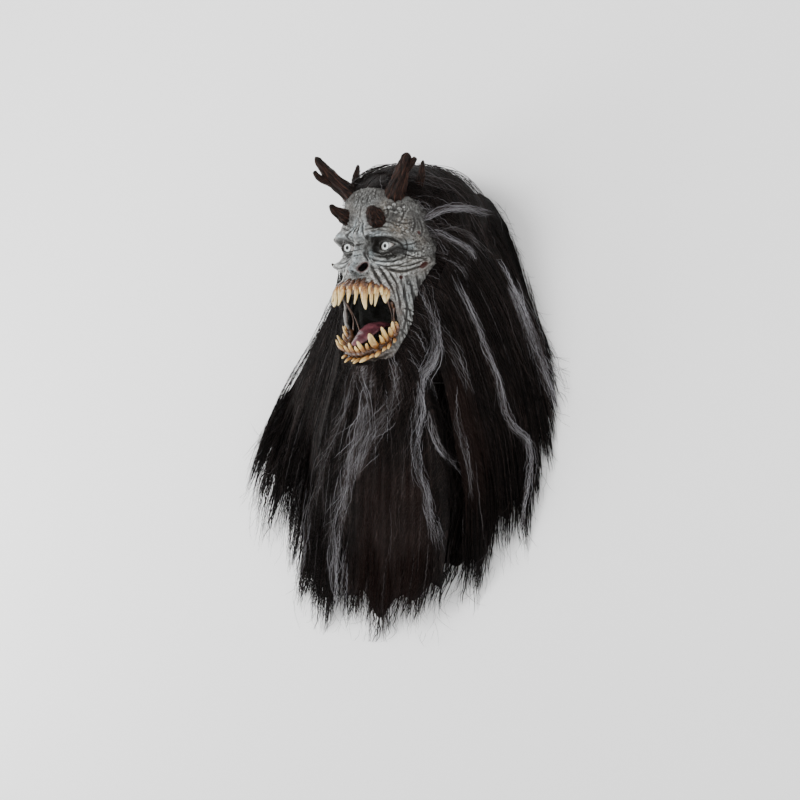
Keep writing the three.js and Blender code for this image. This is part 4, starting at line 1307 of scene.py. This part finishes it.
def capHairs(count, rng):
    side = np.where(rng.random(count) < capPlan["leftShare"], 1, -1)
    atCrown = rng.random(count) < capPlan["crownShare"]
    far = np.where(atCrown, rng.uniform(1, 60, count), 8 + 285 * rng.random(count))
    steps = hairSteps(rng.uniform(0.85, 1.25, count))
    y = capHeight(far[:, None] + steps * 0.93)
    line = hairlineAngle(y[:, 0])
    back = rng.random(count)
    a0 = line + 2 + (178 - line) * np.where(rng.random(count) < 0.35, back * 0.2, back)
    sweep = 46 * np.exp(-(a0 - line) / 45) * rng.uniform(0.5, 1.4, count)
    grow = rng.uniform(-2, 5, count)[:, None] * smoothStep(steps / 22)
    lock = np.round(a0 / 7) * 7
    a = a0[:, None] + sweep[:, None] * (1 - np.exp(-steps / 55))
    a = a + (lock - a0)[:, None] * 0.5 * smoothStep(steps / 90)
    a = np.minimum(a + 2.0 * np.sin(steps / 24 + phases(rng, count)), 187)
    point = capPoint(side[:, None] * a, y, grow)
    sides, up = capSides(point)
    paths = crimped(point, sides, up, rng, rng.uniform(0.6, 1.3, count))
    radius = crimpPlan["radius"] * rng.uniform(0.7, 1.3, count)
    return paths, radius, dullTone(rng, count), 0.25 * rng.random(count)


# Fine loose hairs rooted in the skin in front of the cap
def fringeHairs(count, rng):
    heights, angles = zip(*capPlan["fringe"][::-1])
    side = np.where(rng.random(count) < capPlan["fringeLeftShare"], 1, -1)
    y0 = np.interp(rng.random(count) ** 0.8, [0, 0.55, 1], [118, 40, -140])
    y0 = y0 + rng.normal(0, 3, count)
    a0 = np.where(y0 > 114, rng.uniform(0, 30, count), np.interp(y0, heights, angles))
    a0 = a0 + rng.gamma(1.6, 2.2, count) - 2.5
    steps = hairSteps(rng.uniform(0.5, 1.0, count))
    upward = np.clip((y0 - 70) / 30, 0, 1)[:, None]
    sweep = rng.uniform(14, 44, count)[:, None] * (1 + 0.7 * upward)
    a = a0[:, None] + sweep * (1 - np.exp(-steps / 45))
    fall = steps * (0.8 - 0.25 * upward) * smoothStep((steps + 14) / 50)
    y = np.minimum(y0[:, None] + 22 * upward * smoothStep(steps / 40) - fall, 150)
    out = np.clip(steps / 14, 0, 1) ** 1.3
    skinAt = headPoint(side[:, None] * a, np.minimum(y, 128), 0.4)
    hairAt = capPoint(side[:, None] * a, y, rng.uniform(0.5, 7, count)[:, None])
    point = skinAt * (1 - out[..., None]) + hairAt * out[..., None]
    sides, up = capSides(point)
    paths = crimped(point, sides, up, rng, rng.uniform(0.5, 1.6, count), 1.2)
    tone = np.clip(rng.gamma(2.5, 0.14, count), 0.05, 0.9)
    return paths, 0.28 * rng.uniform(0.7, 1.3, count), tone, 0 * tone


def alongPath(at, gone, path):
    return np.stack([np.interp(at, gone, path[:, k]) for k in range(3)], axis=-1)


# A bundle of grey hairs about one path
def bundle(path, up, count, half, rng):
    samples = crimpPlan["samples"] - 4
    gone = np.concatenate([[0], np.cumsum(np.linalg.norm(np.diff(path, axis=0), axis=1))])
    step = crimpPlan["period"] / 2 * rng.uniform(0.8, 1.3, count)
    span = step * (samples - 1)
    begin = rng.uniform(-0.02, 1, count) * np.maximum(gone[-1] - span * 0.8, 1)
    at = np.maximum(begin[:, None] + np.arange(samples)[None, :] * step[:, None], 0)
    point = alongPath(at, gone, path)
    over = np.maximum(at - gone[-1], 0)[..., None]
    end = path[-1] - path[-2]
    point = point + end / np.linalg.norm(end) * np.minimum(over, 18)
    ups = alongPath(at, gone, up)
    sides = unit(np.cross(np.gradient(point, axis=1), ups))
    share = np.linspace(0, 1, samples)[None, :]
    first, last = rng.normal(0, half, count), rng.normal(0, half * 1.5, count)
    off = first[:, None] * (1 - share ** 1.5) + last[:, None] * share ** 1.5
    off = off + 2.5 * np.sin(at / 23 + phases(rng, count))
    point = point + sides * off[..., None] + ups * rng.uniform(0.5, 5.5, count)[:, None, None]
    return crimped(point, sides, ups, rng, rng.uniform(0.35, 1.25, count))


def streakHairs(key, rng):
    made = []
    for line, count, half, tone in streakPlan[key]:
        fine = curvePoints(line, np.linspace(0, 1, 60))
        if key == "loose":
            path, up = fine, np.tile(np.array([0.5, 0.1, 0.86]), (len(fine), 1))
        elif key == "cap":
            path = capPoint(fine[:, 0], fine[:, 1], 3.5)
            _, up = capSides(path)
        else:
            lattice, _, ups = fallFrame(key)
            up = onLattice(ups, fine[:, 1], np.minimum(fine[:, 0], 1))
            path = onLattice(lattice, fine[:, 1], fine[:, 0]) + up * 4.5
        paths = bundle(path, up, count, half, rng)
        made.append((paths, tone * rng.uniform(0.45, 1.08, count)))
    paths, tone = (np.concatenate(parts) for parts in zip(*made))
    return paths, 0.25 * rng.uniform(0.7, 1.4, len(tone)), tone, 0 * tone


# Short hairs that stray from the edges and tips of the falls
def strayHairs(rng):
    samples = strayPlan["samples"]
    made = []
    for key, part in strayPlan["shares"].items():
        plan = hairPlan[key]
        lattice, side, up = fallFrame(key)
        n = int(strayPlan["count"] * part)
        u = np.where(rng.random(n) < 0.6, rng.choice([0.0, 1.0], n), rng.random(n))
        u = np.clip(u + rng.normal(0, 0.03, n), 0.002, 0.998)
        atTip = rng.random(n) < strayPlan["tips"]
        u = np.where(atTip, rng.uniform(0.01, 0.99, n), u)
        t = np.where(atTip, rng.uniform(0.84, 0.99, n), rng.uniform(0.1, 0.98, n)) * plan["reach"]
        atEdge = np.abs(u - 0.5) > 0.4
        base = onLattice(lattice, u, t)
        along = unit(onLattice(lattice, u, t + 0.02) - base)
        away = np.where(u < 0.5, -1, 1) * np.where(atEdge, 1, 0.2)
        outward = onLattice(side, u, t) * away[:, None]
        if "thick" not in plan:
            base[:, 2] *= np.where(atEdge, rng.uniform(0.2, 1, n), 1)
        ups = onLattice(up, u, t)
        lean = outward * rng.uniform(0.1, 0.8, n)[:, None] + ups * rng.uniform(0, 0.35, n)[:, None]
        made.append((base, ups, along + lean))
    base, up, ahead = (np.concatenate(parts) for parts in zip(*made))
    n, ahead = len(base), unit(ahead)
    sides = unit(np.cross(ahead, up))
    reach = (np.arange(samples) * 2.3)[None, :, None] * rng.uniform(0.6, 1.5, n)[:, None, None]
    curl = rng.normal(0, 0.014, n)[:, None, None] * reach ** 2
    sag = np.array([0, 0, 0.004]) * reach ** 2
    point = base[:, None] + ahead[:, None] * reach + sides[:, None] * curl - sag
    wide, tall = (np.repeat(way[:, None], samples, axis=1) for way in (sides, up))
    paths = crimped(point, wide, tall, rng, rng.uniform(0.4, 1.0, n), 0.8)
    return paths, 0.2 * rng.uniform(0.8, 1.3, n), dullTone(rng, n) + 0.08, 0 * base[:, 0]


# The solid mass under the loose hairs, as a tube flattened between its upper side and the table
def buildFallBody(name, key):
    plan, upper = hairPlan[key], massPlan["over"]
    lattice, _, up = fallFrame(key)
    locks = plan["locks"]

    def place(across, along):
        over = across < upper
        u = np.where(over, across / upper, (1 - across) / (1 - upper))
        t = 0.004 + along * (tipReach(plan, u) - massPlan["short"])
        ridge = np.abs(np.sin(u * locks * np.pi + 0.5 * np.sin(5 * t + 9 * u)))
        top = onLattice(lattice, u, t)
        swell = np.sin(np.pi * np.clip(0.1 + 0.85 * t, 0, 1))
        top = top + onLattice(up, u, t) * ((ridge * 4.5 - 4.5) * swell)[:, None]
        low = top.copy()
        if "thick" in plan:
            low[:, 2] -= thickAt(plan, t) * 0.9
        else:
            low[:, 2] = 1.2
        thin = np.clip(np.minimum(along / 0.015, (1 - along) / 0.35), 0, 1) ** 0.9
        middle = (top + low) / 2
        edge = fromEnds(u, 0.02) ** 0.5
        points = np.where(over[:, None], top, low)
        points = middle + (points - middle) * (thin * edge)[:, None]
        points[:, 2] = np.maximum(points[:, 2], 0.8)
        wide = onLattice(lattice, 0 * u + 1, t) - onLattice(lattice, 0 * u, t)
        # Darker in the grooves between the locks, painted shade there, and lighter in the grey bands
        tone = 0.02 + 0.08 * ridge + 0.9 * bandTone(key, lattice, u, t)
        return points, {
            # the underside, against the table, is painted near black: painted shade
            "tone": np.where(over, tone, -0.35), "warm": warmth(key, u, t) * 0.4,
            "sideMm": u * np.linalg.norm(wide, axis=1), "downMm": t * fallLength,
        }

    return wrappedGrid(name, *massPlan["grid"], place, merge=0.05)


def buildCapBody():
    upper, (low, lowShare) = capPlan["over"], capPlan["low"]
    crown, axis = headPlan["crownY"], np.array([0, 0, headPlan["axisHeight"]])
    rise = capPlan["crownY"] - capPlan["closeY"]
    first = math.acos((low - capPlan["closeY"]) / rise)

    def place(across, along):
        over = across < upper
        share = np.where(over, across / upper, (1 - across) / (1 - upper))
        closing = np.clip((along - lowShare) / (1 - lowShare), 0, 1)
        y = np.interp(along, [0, lowShare], [headPlan["neckY"] + 1, low])
        dome = capPlan["closeY"] + rise * np.cos(first * (1 - closing))
        y = np.where(along > lowShare, dome, y)
        line = hairlineAngle(y)
        line = line + np.minimum(2.5, 0.3 * line)
        angle = line + (360 - 2 * line) * share
        outer = capPoint(angle, y)
        inward = axis - outer
        inward[:, 1] = np.minimum(capPlan["closeY"] - y, 0)
        outer += unit(inward) * 2
        inner = headPoint(angle, np.minimum(y, crown - 0.5), 1.0)
        pinch = np.clip((1 - along) / 0.06, 0, 1) ** 0.5
        inner[:, 0] *= pinch
        inner[:, 2] = axis[2] + (inner[:, 2] - axis[2]) * pinch
        inner[:, 1] = np.minimum(y, crown + 0.5 + 0.3 * np.maximum(y - crown, 0))
        ripple = 1.6 * np.abs(np.sin(np.radians(angle) * 26 + 0.05 * y)) - 1.2
        flat = outer - axis
        flat[:, 1] = 0
        outer = outer + unit(flat) * (ripple * np.clip((1 - along) / 0.12, 0, 1))[:, None]
        points = np.where(over[:, None], outer, inner)
        middle = (outer + inner) / 2
        thin = np.clip(along / 0.01, 0, 1)
        points = middle + (points - middle) * thin[:, None]
        points[:, 2] = np.maximum(points[:, 2], 0.8)
        behind = np.minimum(angle, 360 - angle)
        return points, {
            "tone": 0.05 + 0 * y, "warm": 0 * y,
            "sideMm": behind * 1.7 + 22 * np.exp(-(behind - line) / 30) + 0.15 * y,
            "downMm": 150 - y + np.hypot(points[:, 0], points[:, 2] - axis[2]),
        }

    return wrappedGrid("mane_mass", *capPlan["grid"], place, merge=0.05)


# materials

class Paint:
    def __init__(self, name):
        self.material = bpy.data.materials.new(name)
        self.material.use_nodes = True
        self.tree = self.material.node_tree
        self.shader = self.tree.nodes["Principled BSDF"]
        self.place = self.node("TexCoord").outputs["Object"]

    def node(self, kind, inputs=None):
        node = self.tree.nodes.new("ShaderNode" + kind)
        for key, value in (inputs or {}).items():
            self.feed(node.inputs[key], value)
        return node

    def feed(self, socket, value):
        if hasattr(value, "is_output"):
            self.tree.links.new(value, socket)
        elif socket.type == "RGBA" and len(value) == 3:
            socket.default_value = (*value, 1)
        else:
            socket.default_value = value

    def attribute(self, name):
        node = self.node("Attribute")
        node.attribute_name = name
        return node.outputs["Fac"]

    def noise(self, source, scale, detail, roughness, stretch=(1, 1, 1), distortion=0.0):
        mapping = self.node("Mapping", {"Scale": stretch, "Vector": source})
        return self.node("TexNoise", {
            "Scale": scale, "Detail": detail, "Roughness": roughness, "Distortion": distortion,
            "Vector": mapping.outputs["Vector"],
        }).outputs["Fac"]

    def ramp(self, source, stops):
        node = self.node("ValToRGB", {"Fac": source})
        elements = node.color_ramp.elements
        while len(elements) < len(stops):
            elements.new(0.5)
        for element, (place, colour) in zip(elements, stops):
            element.position = place
            element.color = (*colour, 1)
        return node.outputs["Color"]

    def grey(self, source, low, high):
        return self.ramp(source, [(low, (0, 0, 0)), (high, (1, 1, 1))])

    def maths(self, kind, first, second=0.5, clamp=False):
        node = self.node("Math", {0: first, 1: second})
        node.operation = kind
        node.use_clamp = clamp
        return node.outputs[0]

    def times(self, *values):
        product = values[0]
        for value in values[1:]:
            product = self.maths("MULTIPLY", product, value)
        return product

    # A value stirred by a noise, which swings to both sides of its middle
    def stirred(self, value, noiseSource, share, middle=0.5):
        swing = self.times(self.maths("SUBTRACT", noiseSource, middle), share)
        return self.maths("ADD", value, swing)

    def mix(self, share, first, second):
        node = self.node("Mix")
        node.data_type = "RGBA"
        for number, value in ((0, share), (6, first), (7, second)):
            self.feed(node.inputs[number], value)
        return node.outputs[2]

    def bump(self, height, strength, distance, inputs=None):
        return self.node("Bump", {
            "Strength": strength, "Distance": distance, "Height": height, **(inputs or {}),
        }).outputs["Normal"]

    def finish(self, colour, normal, roughness, inputs=None):
        sockets = {"Base Color": colour, "Normal": normal, "Roughness": roughness, **(inputs or {})}
        for key, value in sockets.items():
            if value is not None:
                self.feed(self.shader.inputs[key], value)
        return self.material


def skinMaterial():
    paint = Paint("painted latex skin")
    grey, times, attribute = paint.grey, paint.times, paint.attribute
    broad = paint.noise(paint.place, 42, 6, 0.65)
    blotch = paint.noise(paint.place, 190, 6, 0.7, distortion=1.2)
    fine = paint.noise(paint.place, 300, 5, 0.7)
    grain = paint.noise(paint.place, 950, 3, 0.6)
    colour = paint.ramp(broad, [
        (0.34, (0.032, 0.030, 0.027)), (0.5, (0.085, 0.084, 0.079)), (0.66, (0.15, 0.152, 0.147)),
    ])
    layers = [
        (times(attribute("tan"), grey(fine, 0.38, 0.6)), (0.17, 0.118, 0.07)),
        # Pale dry-brushed paint and painted highlight on the raised skin
        (times(grey(attribute("ridge"), 0.5, 0.9), grey(fine, 0.36, 0.58)), (0.53, 0.54, 0.52)),
        # Pale paint and painted highlight from the pale patches
        (times(attribute("pale"), grey(fine, 0.38, 0.6), 0.8), (0.34, 0.41, 0.44)),
        (times(grey(blotch, 0.5, 0.62), 0.66), (0.022, 0.02, 0.018)),
        (times(attribute("rust"), grey(broad, 0.32, 0.55)), (0.085, 0.034, 0.012)),
        # Dark paint and painted shade from the dark patches
        (times(grey(attribute("dark"), 0.02, 0.75), grey(fine, 0.1, 0.4), 0.93), (0.010, 0.009, 0.008)),
        (times(grey(grain, 0.55, 0.66), 0.5), (0.018, 0.016, 0.014)),
        # Near-black dark wash and painted shade in the creases, the wrinkles and round the lids
        (times(grey(attribute("creaseWashAndShade"), 0.1, 0.75), 0.93), (0.009, 0.0075, 0.006)),
        (attribute("sore"), (0.04, 0.008, 0.006)),
    ]
    for share, over in layers:
        colour = paint.mix(share, colour, over)
    sheen = paint.ramp(fine, [(0.3, (0.34, 0.34, 0.34)), (0.7, (0.58, 0.58, 0.58))])
    normal = paint.bump(grain, 0.4, 0.0005, {"Normal": paint.bump(fine, 0.6, 0.0014)})
    return paint.finish(colour, normal, sheen, {"Specular IOR Level": 0.35})


def hornMaterial():
    paint = Paint("bark brown horn")
    wrapped = paint.node("TexCoord").outputs["UV"]
    bark = paint.noise(wrapped, 6, 6, 0.7, stretch=(9, 0.8, 1), distortion=0.5)
    blotch = paint.noise(paint.place, 90, 4, 0.6)
    colour = paint.ramp(bark, [
        (0.41, (0.0012, 0.0009, 0.0008)), (0.51, (0.007, 0.004, 0.003)), (0.64, (0.070, 0.030, 0.020)),
    ])
    dark = paint.times(paint.grey(blotch, 0.48, 0.7), 0.55)
    colour = paint.mix(dark, colour, (0.022, 0.009, 0.0065))
    return paint.finish(colour, paint.bump(bark, 1.0, 0.0022), 0.45, {"Specular IOR Level": 0.12})


def toothMaterial():
    paint = Paint("stained ivory tooth")
    mottle = paint.noise(paint.place, 320, 5, 0.65)
    streak = paint.noise(paint.place, 160, 3, 0.6)
    along = paint.stirred(paint.attribute("along"), mottle, 0.55)
    colour = paint.ramp(along, [
        (0.1, (0.014, 0.005, 0.002)), (0.25, (0.085, 0.026, 0.006)), (0.36, (0.27, 0.115, 0.026)),
        (0.5, (0.57, 0.375, 0.12)), (0.85, (0.74, 0.59, 0.29)),
    ])
    stain = paint.times(paint.grey(streak, 0.5, 0.64), 0.5)
    stain = paint.maths("ADD", stain, paint.attribute("groove"), clamp=True)
    colour = paint.mix(paint.times(stain, 0.82), colour, (0.11, 0.04, 0.01))
    coat = {"Coat Weight": 0.35, "Coat Roughness": 0.15}
    return paint.finish(colour, paint.bump(mottle, 0.3, 0.0006), 0.27, coat)


def fleshMaterial(name, deep, light, roughness):
    paint = Paint(name)
    broad = paint.noise(paint.place, 110, 5, 0.65)
    fine = paint.noise(paint.place, 520, 3, 0.6)
    colour = paint.ramp(broad, [(0.34, deep), (0.66, light)])
    # Deep colour in the tongue's median groove: painted shade
    colour = paint.mix(paint.times(paint.attribute("groove"), 0.8), colour, deep)
    coat = {"Coat Weight": 0.3, "Coat Roughness": 0.2}
    return paint.finish(colour, paint.bump(fine, 0.5, 0.0007), roughness, coat)


def eyeMaterial(name, side):
    paint = Paint(name)
    centre = (-side * eyePlan["x"] / 1000, -eyePlan["y"] / 1000, 0)
    flat = paint.node("Mapping", {"Location": centre, "Scale": (1, 1, 0), "Vector": paint.place})
    length = paint.node("VectorMath", {0: flat.outputs["Vector"]})
    length.operation = "LENGTH"
    fibre = paint.noise(paint.place, 700, 3, 0.6)
    out = paint.stirred(paint.times(length.outputs["Value"], 100), fibre, 0.05)
    colour = paint.ramp(out, [
        (0.27, (0.0015, 0.0015, 0.0015)), (0.31, (0.52, 0.545, 0.54)), (0.46, (0.74, 0.775, 0.765)),
        (0.55, (0.5, 0.525, 0.525)), (0.595, (0.05, 0.052, 0.054)), (0.63, (0.05, 0.052, 0.054)),
        (0.69, (0.46, 0.46, 0.45)), (1.0, (0.30, 0.27, 0.25)),
    ])
    return paint.finish(colour, None, 0.32, {"Specular IOR Level": 0.1})


def hairMaterial(name, strand):
    paint = Paint(name)
    times, plus = paint.times, lambda a, b: paint.maths("ADD", a, b)
    tone, normal = paint.attribute("tone"), None
    if strand:
        detail = paint.noise(paint.place, 60, 4, 0.6)
        shade = paint.stirred(tone, detail, 0.3)
    else:
        # strands half a millimetre wide that zigzag as the loose hairs do
        down = paint.attribute("downMm")
        broad = paint.noise(paint.place, 55, 3, 0.6)
        wave = times(paint.maths("SINE", plus(times(down, 0.74), times(broad, 14.0))), 0.45)
        side = plus(plus(paint.attribute("sideMm"), wave), times(broad, 5.0))
        flow = paint.node("CombineXYZ", {0: side, 1: times(down, 0.035)})
        detail = paint.noise(flow.outputs[0], 0.9, 4, 0.75)
        shade = paint.stirred(tone, detail, 2.1, 0.46)
        normal = paint.bump(detail, 1.0, 0.0025)
    colour = paint.ramp(shade, [
        (0.0, (0.0012, 0.0008, 0.0007)), (0.2, (0.0056, 0.0036, 0.0031)),
        (0.45, (0.031, 0.0215, 0.0190)), (0.7, (0.135, 0.13, 0.135)), (1.0, (0.36, 0.355, 0.38)),
    ])
    warmed = paint.mix(0.55, (0.026, 0.009, 0.0055), colour)
    colour = paint.mix(paint.attribute("warm"), colour, warmed)
    return paint.finish(colour, normal, 0.5, {"Specular IOR Level": 0.09})


# the pieces

gumColours = ((0.014, 0.005, 0.0025), (0.10, 0.038, 0.012), 0.42)
tongueColours = ((0.035, 0.009, 0.014), (0.15, 0.044, 0.056), 0.36)
for build, paint in (
    (buildSkin, skinMaterial()),
    (buildHorns, hornMaterial()),
    (buildTeeth, toothMaterial()),
    (buildGums, fleshMaterial("stained gum", *gumColours)),
    (buildTongue, fleshMaterial("mauve tongue", *tongueColours)),
):
    piece = build()
    finishPiece(piece, paint, "latex", "latex_head")
    print(piece.name, "made")

for name, side in (("eye_left", 1), ("eye_right", -1)):
    lens = buildEye(name + "_lens", side)
    finishPiece(lens, eyeMaterial(name + " paint", side), "eye", name)
print("eyes made")

hairPaint = hairMaterial("dark crimped hair", True)
massPaint = hairMaterial("dark hair mass", False)


def addHairs(name, hairs, slotName, *nodes, slow=2.2):
    finishPiece(hairMesh(name, *hairs, slow), hairPaint, slotName, *nodes)


fallNodes = {"left": "side_hair_left", "right": "side_hair_right", "back": "mane", "beard": "beard"}
for key, node in fallNodes.items():
    plan = hairPlan[key]
    rng = np.random.default_rng(plan["seed"])
    kind = ("beard" if key == "beard" else "hair", node)
    finishPiece(buildFallBody(key + "_hair_mass", key), massPaint, *kind)
    addHairs(key + "_hairs", fallHairs(key, plan["count"], rng), *kind)
    tufts = tuftHairs(key, tuftPlan["perLock"] * plan["locks"], rng)
    addHairs(key + "_tufts", tufts, *kind, slow=tuftPlan["slow"])
    if key in streakPlan:
        addHairs(key + "_streaks", streakHairs(key, rng), *kind)
    print(key, "hair made")

finishPiece(buildCapBody(), massPaint, "hair", "mane")
capRng = np.random.default_rng(capPlan["seed"])
addHairs("mane_hairs", capHairs(capPlan["count"], capRng), "hair", "mane")
addHairs("mane_fringe", fringeHairs(capPlan["fringeCount"], capRng), "hair", "mane")
addHairs("mane_streaks", streakHairs("cap", capRng), "hair", "mane")
addHairs("loose_streaks", streakHairs("loose", capRng), "hair", "side_hair_left")
addHairs("stray_hairs", strayHairs(capRng), "hair", *fallNodes.values())
print("mane made")


# floor and light

stagePlan = {
    "floor": 12, "floorGrey": (0.9, 0.9, 0.9), "floorRoughness": 0.9,
    "aim": (0, -0.1, 0.1),
    "world": 1.05,
    # place in metres, size, power
    "lights": {
        "key": ((-0.9, 0.7, 2.2), 1.2, 52),
        "fill": ((1.6, -0.2, 1.5), 1.8, 22),
        "rim": ((-1.6, -0.6, 0.9), 1.0, 20),
    },
}


def addLight(name, place, size, power):
    data = bpy.data.lights.new(name, "AREA")
    data.shape = "DISK"
    data.size = size
    data.energy = power
    light = bpy.data.objects.new(name, data)
    light.location = place
    aim = Vector(stagePlan["aim"]) - Vector(place)
    light.rotation_euler = aim.to_track_quat("-Z", "Y").to_euler()
    bpy.context.scene.collection.objects.link(light)


def addStage():
    deselectAll()
    bpy.ops.mesh.primitive_plane_add(size=stagePlan["floor"])
    floor = bpy.context.object
    floor.name = "floor"
    paint = Paint("pale floor")
    floor.data.materials.append(paint.finish(stagePlan["floorGrey"], None, stagePlan["floorRoughness"]))
    for name, light in stagePlan["lights"].items():
        addLight(name, *light)
    world = bpy.data.worlds.new("studio")
    world.use_nodes = True
    background = world.node_tree.nodes["Background"]
    background.inputs["Color"].default_value = (1, 1, 1, 1)
    background.inputs["Strength"].default_value = stagePlan["world"]
    bpy.context.scene.world = world


addStage()
print("floor and lights placed")

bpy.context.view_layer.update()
shown = [o.data for o in bpy.data.objects if o.type == "MESH" and not o.hide_render]
print("triangles", sum(len(face.vertices) - 2 for mesh in shown for face in mesh.polygons))
